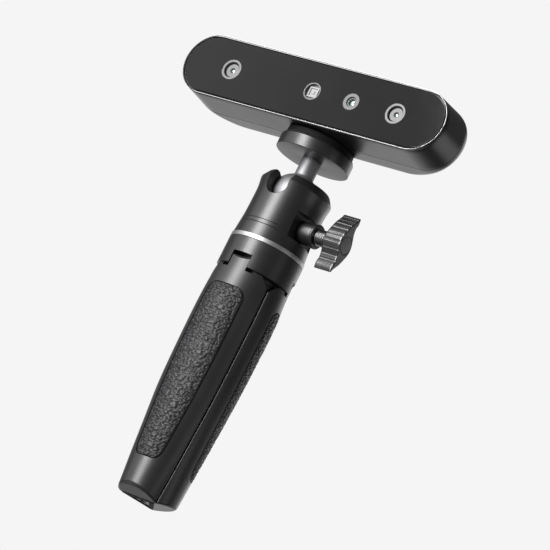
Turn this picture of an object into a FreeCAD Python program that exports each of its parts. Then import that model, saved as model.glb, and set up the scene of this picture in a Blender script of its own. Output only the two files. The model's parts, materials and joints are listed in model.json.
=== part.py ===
import FreeCAD, Part
import Sketcher
import math
import os

# Stereo structured-light scanner head on a pocket ball-head tripod.
# Millimetres, +Z up the folded tripod's axis, front of the scanner towards -Y,
# origin on the tripod's axis in the plane of its folded feet.

V = FreeCAD.Vector
doc = FreeCAD.newDocument("handheld_scanner")
sheet = doc.addObject("Spreadsheet::Sheet", "Sheet")

SIZES = [
    # scanner head
    ("head_x", -2.63, "head centre, sideways from the tripod axis"),
    ("head_lift", 76.74, "head centre above the hub level"),
    ("front_y", -21.4, "front rim plane"),
    ("seam_y", -1.45, "back edge of the front housing"),
    ("cover_y", -1.25, "front edge of the rear cover"),
    ("back_y", 12.6, "back face"),
    ("rim_a", 77.0, "half length at the rim"),
    ("rim_b", 15.65, "half height at the rim"),
    ("seam_a", 77.4, "half length at the seam"),
    ("seam_b", 16.6, "half height at the seam"),
    ("shell_wall", 1.6, "shell thickness"),
    ("bezel_depth", 1.1, "bright rim ring, front to back"),
    ("bezel_wide", 0.75, "bright rim ring, across"),
    ("window_back", -20.0, "back of the dark front window"),
    ("window_front", -21.1, "face of the dark front window"),
    ("cam_x", 48.95, "infrared camera from head centre"),
    ("rgb_x", 23.2, "colour camera from head centre"),
    ("cam_ring_rad", 5.2, ""),
    ("cam_bore_rad", 4.1, ""),
    ("cam_barrel_rad", 3.55, ""),
    ("rgb_ring_rad", 4.25, ""),
    ("rgb_bore_rad", 2.55, ""),
    ("proj_rad", 4.5, ""),
    ("proj_chip", 5.3, "square emitter package"),
    ("button_rad", 5.0, "scan button"),
    ("port_x", 28.0, "charging port from head centre"),
    # plate, stud and ball
    ("hub_level", 132.1, "underside of the bright ring"),
    ("plate_low", 50.1, "above the hub level"),
    ("plate_top", 57.4, ""),
    ("plate_rad", 18.8, ""),
    ("pad_top", 60.1, ""),
    ("pad_rad", 17.2, ""),
    ("stem_rad", 4.85, ""),
    ("stud_rad", 3.175, "quarter inch tripod thread"),
    ("stud_top", 65.4, ""),
    ("ball_rad", 12.05, ""),
    ("ball_lift", 29.7, ""),
    # ball-head housing
    ("socket_gap", 0.15, "ball to socket"),
    ("notch_wide", 11.5, "drop notch"),
    ("notch_low", 24.5, "bottom of the drop notch"),
    ("clamp_lift", 14.8, "clamp screw axis"),
    ("flat_x", 13.7, "clamp flat from the axis"),
    ("bushing_rad", 5.5, ""),
    ("bushing_end", 21.5, ""),
    ("screw_rad", 3.0, "clamp screw"),
    ("knob_near", 29.5, ""),
    ("knob_far", 39.5, ""),
    ("knob_bore", 3.02, ""),
    # hub
    ("ring_rad", 18.9, ""),
    ("ring_tall", 2.17, ""),
    ("collar_tall", 14.4, ""),
    ("collar_bore", 12.2, ""),
    ("tongue_slot", 10.6, ""),
    ("slot_tall", 6.5, "height of the tongue slots"),
    ("pin_u", 16.0, "hinge pin from the axis"),
    ("pin_drop", 12.0, "hinge pin below the hub level"),
    ("pin_rad", 1.25, ""),
    ("pin_half", 7.0, ""),
    ("bolt_rad", 3.0, "pan bolt"),
    # legs
    ("leg_first", -86.0, "azimuth of the front leg, degrees"),
    ("leg_gap", 0.15, "half the gap between legs"),
    ("tongue_wide", 9.8, ""),
    ("tongue_rad", 2.6, ""),
    ("inlay_deep", 0.9, ""),
    ("inlay_gap", 0.25, ""),
    ("foot_edge", 6.2, "where the slanted end of a leg meets its sole"),
    ("foot_drop", 131.8, "sole of a leg below the hub level"),
    ("foot_rim", 129.1, "outer end of the slanted face below the hub level"),
]
row = {}
for i, (alias, value, note) in enumerate(SIZES, start=1):
    sheet.set("A%d" % i, alias)
    sheet.set("B%d" % i, repr(value))
    sheet.setAlias("B%d" % i, alias)
    if note:
        sheet.set("C%d" % i, note)
    row[alias] = value
doc.recompute()


def val(e):
    """Number for an expression written with sheet aliases."""
    t = str(e)
    for k in sorted(row, key=len, reverse=True):
        t = t.replace("Sheet." + k, "(%r)" % float(sheet.get(k)))
    return calc(t)


def calc(t):
    """Small arithmetic reader: + - * / and brackets."""
    pos = [0]
    t = t.replace(" ", "")

    def atom():
        if t[pos[0]] == "(":
            pos[0] += 1
            v = total()
            pos[0] += 1
            return v
        if t[pos[0]] == "-":
            pos[0] += 1
            return -atom()
        k = pos[0]
        while k < len(t) and (t[k].isdigit() or t[k] == "." or (t[k] == "e") or (t[k] == "-" and t[k - 1] == "e")):
            k += 1
        v = float(t[pos[0]:k])
        pos[0] = k
        return v

    def term():
        v = atom()
        while pos[0] < len(t) and t[pos[0]] in "*/":
            o = t[pos[0]]
            pos[0] += 1
            w = atom()
            v = v * w if o == "*" else v / w
        return v

    def total():
        v = term()
        while pos[0] < len(t) and t[pos[0]] in "+-":
            o = t[pos[0]]
            pos[0] += 1
            w = term()
            v = v + w if o == "+" else v - w
        return v
    return total()


def g(alias):
    return float(sheet.get(alias))


def S(alias):
    return "Sheet." + alias


NODES = []


# ---------------------------------------------------------------- helpers
def new_body(name, at=None, turn=None):
    b = doc.addObject("PartDesign::Body", name)
    b.Label = name
    if turn is not None:
        b.Placement = FreeCAD.Placement(V(0, 0, 0), turn)
    if at is not None:
        for ax, e in zip("xyz", at):
            if str(e) not in ("0", "0.0"):
                b.setExpression("Placement.Base." + ax, str(e))
    NODES.append(b)
    return b


def origin_plane(b, role):
    for f in b.Origin.OriginFeatures:
        if f.Role == role:
            return f


def sketch(b, role, name, off=None):
    s = b.newObject("Sketcher::SketchObject", name)
    s.AttachmentSupport = [(origin_plane(b, role), "")]
    s.MapMode = "FlatFace"
    if off is not None:
        s.setExpression("AttachmentOffset.Base.z", str(off))
    return s


def pin_point(s, geo, pos, x, y, tag):
    for kind, e, ax in (("DistanceX", x, -2), ("DistanceY", y, -1)):
        v = val(e)
        if abs(v) < 1e-9:
            s.addConstraint(Sketcher.Constraint("PointOnObject", geo, pos, ax))
        else:
            n = s.addConstraint(Sketcher.Constraint(kind, -1, 1, geo, pos, v))
            nm = "%s%s" % (tag, kind[-1])
            s.renameConstraint(n, nm)
            s.setExpression("Constraints." + nm, str(e))


def poly(s, pts, tag="p"):
    """Closed outline through points given as expressions."""
    num = [(val(x), val(y)) for x, y in pts]
    ids = []
    n = len(pts)
    for i in range(n):
        a, c = num[i], num[(i + 1) % n]
        ids.append(s.addGeometry(Part.LineSegment(V(a[0], a[1], 0), V(c[0], c[1], 0)), False))
    for i in range(n):
        s.addConstraint(Sketcher.Constraint("Coincident", ids[i], 2, ids[(i + 1) % n], 1))
    for i in range(n):
        pin_point(s, ids[i], 1, pts[i][0], pts[i][1], "%s%d" % (tag, i))
    return ids


def circle(s, x, y, r, tag="c"):
    i = s.addGeometry(Part.Circle(V(val(x), val(y), 0), V(0, 0, 1), val(r)), False)
    pin_point(s, i, 3, x, y, tag)
    n = s.addConstraint(Sketcher.Constraint("Radius", i, val(r)))
    s.renameConstraint(n, tag + "R")
    s.setExpression("Constraints." + tag + "R", str(r))
    return i


def revolve(b, pts, name="turned"):
    s = sketch(b, "XZ_Plane", name + "_profile")
    poly(s, pts)
    r = b.newObject("PartDesign::Revolution", name)
    r.Profile = s
    r.ReferenceAxis = (s, ["V_Axis"])
    r.Angle = 360
    return r


def pad(b, s, length, name, back=False, mid=False):
    p = b.newObject("PartDesign::Pad", name)
    p.Profile = s
    p.setExpression("Length", str(length))
    if back:
        p.Reversed = True
    if mid:
        p.SideType = "Symmetric"
    return p


def pocket(b, s, length, name, back=False, mid=False, through=False):
    p = b.newObject("PartDesign::Pocket", name)
    p.Profile = s
    if through:
        p.Type = "ThroughAll"
        p.SideType = "Symmetric"
    else:
        p.setExpression("Length", str(length))
        if mid:
            p.SideType = "Symmetric"
    if back:
        p.Reversed = True
    return p


def polar(b, feats, count, name):
    p = b.newObject("PartDesign::PolarPattern", name)
    p.Originals = feats
    p.Axis = (origin_plane(b, "Z_Axis"), [""])
    p.Angle = 360
    p.Occurrences = count
    b.Tip = p
    return p


def feature(name, shape, place=None):
    f = doc.addObject("Part::Feature", name)
    f.Label = name
    f.Shape = shape
    if place is not None:
        f.Placement = place
    NODES.append(f)
    return f


def box(x0, x1, y0, y1, z0, z1):
    return Part.makeBox(x1 - x0, y1 - y0, z1 - z0, V(x0, y0, z0))


def lathe(pts):
    """Solid of revolution about Z from (radius, height) points."""
    w = Part.makePolygon([V(r, 0, z) for r, z in pts] + [V(pts[0][0], 0, pts[0][1])])
    return Part.Face(w).revolve(V(0, 0, 0), V(0, 0, 1), 360)


def stadium(a, b, y, xc, zc):
    """Stadium outline in a plane of constant y; a, b are half sizes."""
    s = a - b
    p1, p2 = V(xc - s, y, zc + b), V(xc + s, y, zc + b)
    p3, p4 = V(xc + s, y, zc - b), V(xc - s, y, zc - b)
    return Part.Wire([Part.LineSegment(p1, p2).toShape(),
                      Part.Arc(p2, V(xc + a, y, zc), p3).toShape(),
                      Part.LineSegment(p3, p4).toShape(),
                      Part.Arc(p4, V(xc - a, y, zc), p1).toShape()])


def stadium_loft(rows, ruled=True):
    return Part.makeLoft([stadium(a, b, y, g("head_x"), HZ) for a, b, y in rows], True, ruled)


def ydisc(r, y0, y1, x, z):
    return Part.makeCylinder(r, y1 - y0, V(x, y0, z), V(0, 1, 0))


def one(shape):
    """Clean result as one solid."""
    s = shape.removeSplitter()
    return s.Solids[0] if len(s.Solids) == 1 else s


H = g("hub_level")
HX = g("head_x")
HZ = H + g("head_lift")
HUB = S("hub_level")
TURN_Y = FreeCAD.Rotation(V(1, 0, 0), 90)     # local +Z becomes -Y
TURN_X = FreeCAD.Rotation(V(0, 1, 0), 90)     # local +Z becomes +X

# ---------------------------------------------------------------- hub (fixed root)
b = new_body("silver_ring")
s = sketch(b, "XY_Plane", "ring_outline", HUB)
circle(s, 0, 0, S("ring_rad"), "outer")
circle(s, 0, 0, 11, "inner")
p = pad(b, s, S("ring_tall"), "ring_pad")
doc.recompute()
c = b.newObject("PartDesign::Chamfer", "ring_edge")
edges = [("Edge%d" % (i + 1)) for i, e in enumerate(p.Shape.Edges)
         if len(e.Vertexes) == 1 and abs(e.Curve.Radius - g("ring_rad")) < 1e-6]
c.Base = (p, edges)
c.Size = 0.25

b = new_body("leg_collar")
revolve(b, [(3.1, HUB + "-3"), (S("collar_bore"), HUB + "-3"), (S("collar_bore"), HUB + "-" + S("collar_tall")),
            (S("ring_rad") + "-0.3", HUB + "-" + S("collar_tall")), (S("ring_rad"), HUB + "-" + S("collar_tall") + "+0.3"),
            (S("ring_rad"), HUB + "-0.25"), (S("ring_rad") + "-0.25", HUB), (3.1, HUB)])
s = sketch(b, "XZ_Plane", "slot_outline")
# slots and pin holes are cut for a leg on +X, then repeated round the axis
s = sketch(b, "XY_Plane", "slot_plan", HUB + "-" + S("collar_tall"))
poly(s, [(11.0, "-" + S("tongue_slot") + "/2"), (21.0, "-" + S("tongue_slot") + "/2"),
         (21.0, S("tongue_slot") + "/2"), (11.0, S("tongue_slot") + "/2")])
k = pocket(b, s, S("slot_tall"), "tongue_slot_cut", back=True)
s2 = sketch(b, "XZ_Plane", "pin_hole_outline")
circle(s2, S("pin_u"), HUB + "-" + S("pin_drop"), S("pin_rad") + "+0.005", "hole")
k2 = pocket(b, s2, "2*" + S("pin_half"), "pin_hole_cut", mid=True)
polar(b, [k, k2], 3, "three_legs")
for o in list(b.Group):
    if o.Name.startswith("slot_outline"):
        b.removeObject(o)
        doc.removeObject(o.Name)
b.Placement = FreeCAD.Placement(V(0, 0, 0), FreeCAD.Rotation(V(0, 0, 1), g("leg_first")))

b = new_body("hub_core")
revolve(b, [(S("bolt_rad"), HUB + "-3"), (12.1, HUB + "-3"), (12.1, HUB + "-" + S("collar_tall")),
            (14.2, HUB + "-" + S("collar_tall")), (14.2, HUB + "-16.4"), (12.6, HUB + "-17.6"),
            (7.0, HUB + "-22.6"), (5.6, HUB + "-24"), (S("bolt_rad"), HUB + "-24")])
s = sketch(b, "XZ_Plane", "detent_profile")
poly(s, [(9.0, HUB + "-20.4"), (13.6, HUB + "-20.4"), (14.9, HUB + "-18.9"), (14.9, HUB + "-16.8"),
         (13.6, HUB + "-16.0"), (9.0, HUB + "-16.0")])
k = pad(b, s, 4.4, "detent_nub", mid=True)
polar(b, [k], 3, "three_nubs")
b.Placement = FreeCAD.Placement(V(0, 0, 0), FreeCAD.Rotation(V(0, 0, 1), g("leg_first") + 60))

b = new_body("pan_bolt")
revolve(b, [(0, HUB + "-22"), (S("bolt_rad") + "-0.1", HUB + "-22"), (S("bolt_rad"), HUB + "-21.8"),
            (S("bolt_rad"), HUB + "+6.9"), (5.4, HUB + "+6.9"), (5.4, HUB + "+9.6"), (4.9, HUB + "+10"),
            (1.5, HUB + "+10"), (1.5, HUB + "+8"), (0, HUB + "+8")])

pins = []
for i in range(3):
    a = math.radians(g("leg_first") + 120 * i)
    u = V(math.cos(a), math.sin(a), 0)
    t = V(-math.sin(a), math.cos(a), 0)
    pins.append(Part.makeCylinder(g("pin_rad"), 2 * g("pin_half") - 0.1,
                                  u * g("pin_u") - t * (g("pin_half") - 0.05) + V(0, 0, H - g("pin_drop")), t))
feature("hinge_pins", Part.makeCompound(pins))

# ---------------------------------------------------------------- legs
# (height below hub level, radius at the leg's middle, radius at its edges)
LEG = [(-14.9, 18.45, 18.45), (-24.0, 19.0, 18.85), (-36.0, 19.45, 19.15), (-51.0, 19.3, 19.05), (-66.0, 19.0, 18.75),
       (-80.0, 18.45, 18.15), (-95.0, 17.7, 16.75), (-109.0, 16.95, 15.35), (-119.0, 16.45, 14.2), (-126.0, 16.05, 13.3), (-131.8, 15.6, 12.75)]


def leg_section(z, rc, rs, less=0.0, corner=1.1, low=1.6, gap=None):
    """Sector outline of a leg about +X: arc outside, side flats, rounded edges."""
    gap = g("leg_gap") if gap is None else gap
    c = (rc * rc - rs * rs) / (2 * rc - rs)
    rho = rc - c - less
    # side flat: line at 60 degrees, shifted inwards by the gap
    d = V(math.cos(math.radians(60)), math.sin(math.radians(60)), 0)
    n = V(math.sin(math.radians(60)), -math.cos(math.radians(60)), 0)   # towards the leg's middle
    o = n * gap
    cc = V(c, 0, 0)
    if corner > 0:
        # corner arc centre: distance corner from the flat, rho - corner from the arc's centre
        q = o + n * corner
        w = q - cc
        bq = w.dot(d)
        tt = -bq + math.sqrt(bq * bq - (w.dot(w) - (rho - corner) ** 2))
        m = q + d * tt
        pa = m - n * corner
        e = m - cc
        pb = cc + e * (rho / e.Length)
        mid = (pa - m) + (pb - m)
        pm = m + mid * (corner / mid.Length)
    else:
        w = o - cc
        bq = w.dot(d)
        tt = -bq + math.sqrt(bq * bq - (w.dot(w) - rho * rho))
        pb = o + d * tt
    bq = o.dot(d)
    ti = -bq + math.sqrt(bq * bq - (o.dot(o) - low * low))
    pi = o + d * ti
    up = V(0, 0, z)

    def mir(p):
        return V(p.x, -p.y, p.z)
    E = []
    pmid = V(c + rho, 0, 0)
    E.append(Part.Arc(mir(pb) + up, pmid + up, pb + up).toShape())
    if corner > 0:
        E.append(Part.Arc(pb + up, pm + up, pa + up).toShape())
        E.append(Part.LineSegment(pa + up, pi + up).toShape())
    else:
        E.append(Part.LineSegment(pb + up, pi + up).toShape())
    E.append(Part.Arc(pi + up, V(low, 0, z), mir(pi) + up).toShape())
    if corner > 0:
        E.append(Part.LineSegment(mir(pi) + up, mir(pa) + up).toShape())
        E.append(Part.Arc(mir(pa) + up, mir(pm) + up, mir(pb) + up).toShape())
    else:
        E.append(Part.LineSegment(mir(pi) + up, mir(pb) + up).toShape())
    return Part.Wire(E)


def leg_loft(less=0.0, corner=1.1):
    return Part.makeLoft([leg_section(H + z, rc, rs, less, corner) for z, rc, rs in LEG], True, False)


outer = leg_loft()
fe, fd, fr = g("foot_edge"), g("foot_drop"), g("foot_rim")
slope = (fd - fr) / (15.8 - fe)
wdg = Part.makePolygon([V(fe, -30, H - fd), V(fe + 20, -30, H - fd + 20 * slope), V(fe + 20, -30, H - 140), V(fe, -30, H - 140), V(fe, -30, H - fd)])
end_cut = Part.Face(wdg).extrude(V(0, 60, 0))
body = outer.cut(end_cut)
# rounded rim of the slanted end: tool turned about the slanted face's own normal
tilt = math.atan(slope)
nrm = V(-math.sin(tilt), 0, math.cos(tilt))
out = V(math.cos(tilt), 0, math.sin(tilt))
mid = V(5.124, 0, H - fd + slope * (5.124 - fe))
rf, lean = 2.2, math.radians(20)
turn = math.pi / 2 - lean
rc0 = 11.122 - rf * math.tan(turn / 2)


def on_rim(rho, h):
    return mid + out * rho + nrm * h


p0 = on_rim(rc0, -0.02)
p1 = on_rim(rc0, 0.0)
p2 = on_rim(rc0 + rf * math.sin(turn / 2), rf - rf * math.cos(turn / 2))
p3 = on_rim(rc0 + rf * math.sin(turn), rf - rf * math.cos(turn))
p4 = on_rim(rc0 + rf * math.sin(turn) + 5 * math.sin(lean), rf - rf * math.cos(turn) + 5 * math.cos(lean))
p5 = on_rim(rc0 + 12, rf - rf * math.cos(turn) + 5 * math.cos(lean))
p6 = on_rim(rc0 + 12, -0.02)
prof = Part.Wire([Part.LineSegment(p0, p1).toShape(), Part.Arc(p1, p2, p3).toShape(), Part.LineSegment(p3, p4).toShape(),
                  Part.LineSegment(p4, p5).toShape(), Part.LineSegment(p5, p6).toShape(), Part.LineSegment(p6, p0).toShape()])
tool = Part.Face(prof).revolve(mid, nrm, 360)
rounded = body.cut(tool)
if rounded.isValid() and len(rounded.Solids) == 1 and rounded.Volume > 0.98 * body.Volume:
    body = one(rounded)
else:
    raise RuntimeError("foot rim")

# tongue that reaches up between the collar's slots, round about the hinge pin
pu, pz = g("pin_u"), H - g("pin_drop")
tw = g("tongue_wide") / 2
tr = g("tongue_rad")
tongue = Part.makeCylinder(tr, 2 * tw, V(pu, -tw, pz), V(0, 1, 0))
tongue = tongue.fuse(box(14.9, pu + tr - 0.08, -tw, tw, H - 17.5, pz))
# its outer face follows the round of the handle
tongue = tongue.common(Part.makeCylinder(18.42, 40, V(0, 0, H - 35)))
body = body.fuse(tongue)

# room for the hub core, and for its nubs at the leg's edges
room = lathe([(0, H - 9), (14.75, H - 9), (14.75, H - 16.7), (13.1, H - 18.1), (7.5, H - 23.1), (6.2, H - 24.6), (0, H - 24.6)])
keep = Part.makeCylinder(tr + 0.001, 2 * tw, V(pu, -tw, pz), V(0, 1, 0)).common(box(0, 40, -tw, tw, H - 14.2, H))
body = body.cut(room.cut(keep))
for sgn in (1, -1):
    a = math.radians(60 * sgn)
    u = V(math.cos(a), math.sin(a), 0)
    t = V(-math.sin(a), math.cos(a), 0) * sgn
    # V notch where two legs meet under the collar
    pts = [(6.3, H - 14.0), (0.0, H - 20.6), (-6.3, H - 14.0)]
    w = Part.makePolygon([u * 8 + t * q + V(0, 0, z) for q, z in pts] + [u * 8 + t * pts[0][0] + V(0, 0, pts[0][1])])
    body = body.cut(Part.Face(w).extrude(u * 14))
    # clearance round the nub
    w = Part.makePolygon([u * 8 + t * q + V(0, 0, z) for q, z in
                          [(2.9, H - 14), (2.9, H - 21.0), (-2.9, H - 21.0), (-2.9, H - 14), (2.9, H - 14)]])
    body = body.cut(Part.Face(w).extrude(u * 7.6))
    # shoulder relief beside the tongue
    y0, y1 = (tw, 8.6) if sgn > 0 else (-8.6, -tw)
    body = body.cut(box(13.0, 21.0, y0, y1, H - 16.1, H - 13))
# hinge bore, running on the pin
body = body.cut(Part.makeCylinder(g("pin_rad") + 0.05, 12, V(pu, -6, pz), V(0, 1, 0)))
# lightening pocket on the inner side
pock = box(0, 11.6, -3.6, 3.6, H - 112, H - 40)
pock = pock.fuse(Part.makeCylinder(3.6, 11.6, V(0, 0, H - 40), V(1, 0, 0))).fuse(Part.makeCylinder(3.6, 11.6, V(0, 0, H - 112), V(1, 0, 0)))
body = body.cut(pock)

# inlay outline, unrolled: (half width, height below hub level)
INLAY = [(10.4, -31.0), (10.5, -50.0), (10.2, -66.0), (9.6, -80.0), (8.6, -94.0), (7.4, -108.0)]


def inlay_prism(grow):
    top, low = -24.9 + grow, -114.5 - grow
    R = 4.3
    pr = [(w + grow, H + z) for w, z in INLAY]
    tl = V(0, pr[0][0], pr[0][1])
    P = [V(0, w, z) for w, z in pr]
    up = H + top
    dn = H + low
    e = []
    side = Part.BSplineCurve()
    side.interpolate(P)
    e.append(side.toShape())
    c1 = V(0, P[-1].y - 3.6, P[-1].z)
    r1 = P[-1].z - dn
    e.append(Part.BezierCurve())
    e.pop()
    bz = Part.BezierCurve()
    bz.setPoles([P[-1], V(0, P[-1].y - 0.25, P[-1].z - r1 * 0.6), V(0, P[-1].y - 1.6, dn), V(0, P[-1].y - 4.6, dn)])
    e.append(bz.toShape())
    e.append(Part.LineSegment(V(0, P[-1].y - 4.6, dn), V(0, -(P[-1].y - 4.6), dn)).toShape())
    bz = Part.BezierCurve()
    bz.setPoles([V(0, -(P[-1].y - 4.6), dn), V(0, -(P[-1].y - 1.6), dn), V(0, -(P[-1].y - 0.25), P[-1].z - r1 * 0.6), V(0, -P[-1].y, P[-1].z)])
    e.append(bz.toShape())
    side2 = Part.BSplineCurve()
    side2.interpolate([V(0, -p.y, p.z) for p in reversed(P)])
    e.append(side2.toShape())
    r0 = up - P[0].z
    bz = Part.BezierCurve()
    bz.setPoles([V(0, -P[0].y, P[0].z), V(0, -P[0].y, P[0].z + r0 * 0.6), V(0, -(P[0].y - 2.2), up), V(0, -(P[0].y - 5.4), up)])
    e.append(bz.toShape())
    e.append(Part.LineSegment(V(0, -(P[0].y - 5.4), up), V(0, P[0].y - 5.4, up)).toShape())
    bz = Part.BezierCurve()
    bz.setPoles([V(0, P[0].y - 5.4, up), V(0, P[0].y - 2.2, up), V(0, P[0].y, P[0].z + r0 * 0.6), V(0, P[0].y, P[0].z)])
    e.append(bz.toShape())
    f = Part.Face(Part.Wire(e))
    return f.extrude(V(30, 0, 0))


inner = leg_loft(less=g("inlay_deep"), corner=0.6)
recess = inlay_prism(g("inlay_gap")).cut(inner)
body = one(body.cut(recess))
inlay = one(outer.common(inlay_prism(0.0)).cut(leg_loft(less=g("inlay_deep") - 0.02, corner=0.6)))

# rubber sole let into the flat end of the leg
def sole(grow, z0, z1):
    w0, w1 = 4.5 + grow, 9.1 + grow
    q = [V(3.2 - grow, -w0, z0), V(5.6 + grow, -w1, z0), V(5.6 + grow, w1, z0), V(3.2 - grow, w0, z0), V(3.2 - grow, -w0, z0)]
    return Part.Face(Part.makePolygon(q)).extrude(V(0, 0, z1 - z0))


pad_low = sole(0.0, 0.0, 1.9)
room_s = Part.makePolygon([V(3.12, -4.62, -1), V(5.66, -9.32, -1), V(5.66, 9.32, -1), V(3.12, 4.62, -1), V(3.12, -4.62, -1)])
body = one(body.cut(Part.Face(room_s).extrude(V(0, 0, 2.95))))

LEGS = ("front", "right", "rear")
for i, nm in enumerate(LEGS):
    pl = FreeCAD.Placement(V(0, 0, 0), FreeCAD.Rotation(V(0, 0, 1), g("leg_first") + 120 * i))
    feature("leg_" + nm, body, pl)
    feature("grip_inlay_" + nm, inlay, pl)
    feature("foot_pad_" + nm, pad_low, pl)

# ---------------------------------------------------------------- ball head
BL = HUB + "+" + S("ball_lift")
WALL = [(18.65, 2.3), (18.4, 4), (18.05, 8), (17.72, 12), (17.5, 18), (17.45, 24), (17.55, 27.5), (17.9, 30.2), (18.2, 32.3)]
wall = Part.BSplineCurve()
wall.interpolate([V(r, 0, H + z) for r, z in WALL])
inside = [(18.2, 32.3), (18.05, 33.2), (15.9, 36.5), (15.4, 36.95), (14.7, 37.2), (12.6, 37.2), (10.5, 36), (10.5, 29), (12.2, 29),
          (12.2, 6.85), (3.06, 6.85), (3.06, 2.3), (18.65, 2.3)]
prof = [wall.toShape()] + [Part.LineSegment(V(inside[i][0], 0, H + inside[i][1]), V(inside[i + 1][0], 0, H + inside[i + 1][1])).toShape()
                           for i in range(len(inside) - 1)]
hb = Part.Face(Part.Wire(prof)).revolve(V(0, 0, 0), V(0, 0, 1), 360)
ballz = H + g("ball_lift")
hb = hb.cut(Part.makeSphere(g("ball_rad") + g("socket_gap"), V(0, 0, ballz)))
# drop notch, open to the front
hw = g("notch_wide") / 2
zc = H + g("notch_low") + hw
slot = box(-hw, hw, -30, 0, zc, H + 45).fuse(Part.makeCylinder(hw, 30, V(0, -30, zc), V(0, 1, 0))).removeSplitter()
hb = hb.cut(slot)
lip = [e for e in hb.Edges if e.BoundBox.YMax < -15.5 and abs(e.BoundBox.XMax) < hw + 0.1 and abs(e.BoundBox.XMin) < hw + 0.1
       and e.BoundBox.ZMin > H + 24 and e.BoundBox.ZMax < H + 34 and e.Length > 3.0]
print("notch lip edges", len(lip))
try:
    eased = hb.makeChamfer(0.3, lip)
    if eased.isValid() and len(eased.Solids) == 1 and 0.99 * hb.Volume < eased.Volume < hb.Volume:
        hb = eased
        print("notch lip eased")
except Exception as err:
    print("lip left sharp", err)
# flat and bore for the clamp, on +X
fx = g("flat_x")
hb = hb.cut(box(fx, 30, -10.9, 10.9, H + 8.1, H + 21.5))
hb = hb.cut(Part.makeCylinder(4.5, 12, V(8, 0, H + g("clamp_lift")), V(1, 0, 0)))
# two index lines round the left side, and a witness mark at their end
for zl, rl in ((10.7, 17.83), (8.6, 18.0)):
    v = Part.makePolygon([V(rl + 0.3, 0, H + zl - 0.42), V(rl - 0.22, 0, H + zl), V(rl + 0.3, 0, H + zl + 0.42), V(rl + 0.3, 0, H + zl - 0.42)])
    v = Part.Face(v)
    v.rotate(V(0, 0, 0), V(0, 0, 1), -57)
    hb = hb.cut(v.revolve(V(0, 0, 0), V(0, 0, 1), -118))
am = math.radians(-55.2)
hb = hb.cut(Part.makeCylinder(0.35, 3, V(17.65 * math.cos(am), 17.65 * math.sin(am), H + 8.2), V(math.cos(am), math.sin(am), 0)))
feature("ball_head_body", one(hb))

b = new_body("ball_seat")
revolve(b, [(5.0, HUB + "+19.0"), (12.1, HUB + "+19.0"), (12.1, HUB + "+24.2"), (5.0, HUB + "+24.2")])

b = new_body("thrust_block")
revolve(b, [(0, HUB + "+11.2"), (11.9, HUB + "+11.2"), (11.9, HUB + "+18.9"), (7.6, HUB + "+18.9"), (4.6, HUB + "+18.0"), (4.0, HUB + "+17.3"), (0, HUB + "+17.3")])
s = sketch(b, "YZ_Plane", "tip_bore_outline", 4.8)
circle(s, 0, HUB + "+" + S("clamp_lift"), S("screw_rad") + "+0.08", "tip")
pocket(b, s, 12, "tip_bore", back=True)

turns = []
hel = Part.makeHelix(1.2, 3.45, 8.2)
hel.translate(V(0, 0, H + 7.29))
prof_w = Part.Wire([Part.Circle(V(8.2, 0, H + 7.29), V(0, 1, 0.023), 0.4).toShape()])
sp = Part.Wire(hel.Edges).makePipeShell([prof_w], True, True)
feature("seat_spring", Part.Solid(sp) if sp.ShapeType == "Shell" else sp)

b = new_body("clamp_bushing", at=(0, 0, HUB + "+" + S("clamp_lift")), turn=TURN_X)
revolve(b, [(S("screw_rad") + "+0.06", 12.5), (4.45, 12.5), (4.45, S("flat_x")), (S("bushing_rad"), S("flat_x")),
            (S("bushing_rad"), S("bushing_end") + "-0.3"), (S("bushing_rad") + "-0.3", S("bushing_end")),
            (S("screw_rad") + "+0.06", S("bushing_end"))])

# ---------------------------------------------------------------- clamp screw and knob
b = new_body("clamp_washer", at=(0, 0, HUB + "+" + S("clamp_lift")), turn=TURN_X)
revolve(b, [(S("screw_rad") + "+0.02", 21.65), (5.8, 21.65), (6.0, 21.85), (6.0, 22.9), (5.8, 23.1), (S("screw_rad") + "+0.02", 23.1)])

b = new_body("clamp_screw", at=(0, 0, HUB + "+" + S("clamp_lift")), turn=TURN_X)
P = [(0, 5.1), (1.4, 5.1), (S("screw_rad"), 6.7), (S("screw_rad"), 23.15)]
x = 23.15
while x < 28.6:
    P += [(3.55, x + 0.1), (4.05, x + 0.45), (4.05, x + 0.6), (3.55, x + 0.95)]
    x += 1.05
P += [(3.55, 29.45), (S("screw_rad"), 29.45), (S("screw_rad"), 36.5), (0, 36.5)]
revolve(b, P)

# two-winged knob: outline about the screw axis, same on both sides of it
KNOB = [(1.7, 15.0), (2.5, 12.0), (1.9, 9.6), (2.35, 7.0), (3.55, 4.6), (4.75, 2.0), (5.25, -0.4), (5.0, -3.0), (4.0, -5.6), (3.1, -7.6), (2.0, -9.8)]
half = [(y, z) for y, z in KNOB]
full = half + [(-y, -z) for y, z in half]
cur = Part.BSplineCurve()
tipA, tipB = V(0, half[0][0], half[0][1]), V(0, -half[0][0], -half[0][1])
c1 = Part.BSplineCurve()
c1.interpolate([V(0, y, z) for y, z in half] + [V(0, -0.2, -12.8), tipB])
c2 = Part.BSplineCurve()
c2.interpolate([tipB] + [V(0, -y, -z) for y, z in half[1:]] + [V(0, 0.2, 12.8), tipA])
kface = Part.Face(Part.Wire([c1.toShape(), c2.toShape()]))
kf = g("knob_far")
kn_ = g("knob_near")
knob = kface.extrude(V(kf - kn_, 0, 0))
knob.translate(V(kn_, 0, 0))
knob = knob.cut(Part.makeCylinder(g("knob_bore"), 7.05, V(kn_ - 0.01, 0, 0), V(1, 0, 0)))
knob = knob.cut(Part.makeCylinder(4.25, 1.6, V(kf - 1.5, 0, 0), V(1, 0, 0)))
knob.translate(V(0, 0, H + g("clamp_lift")))
feature("lock_knob", one(knob))

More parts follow.
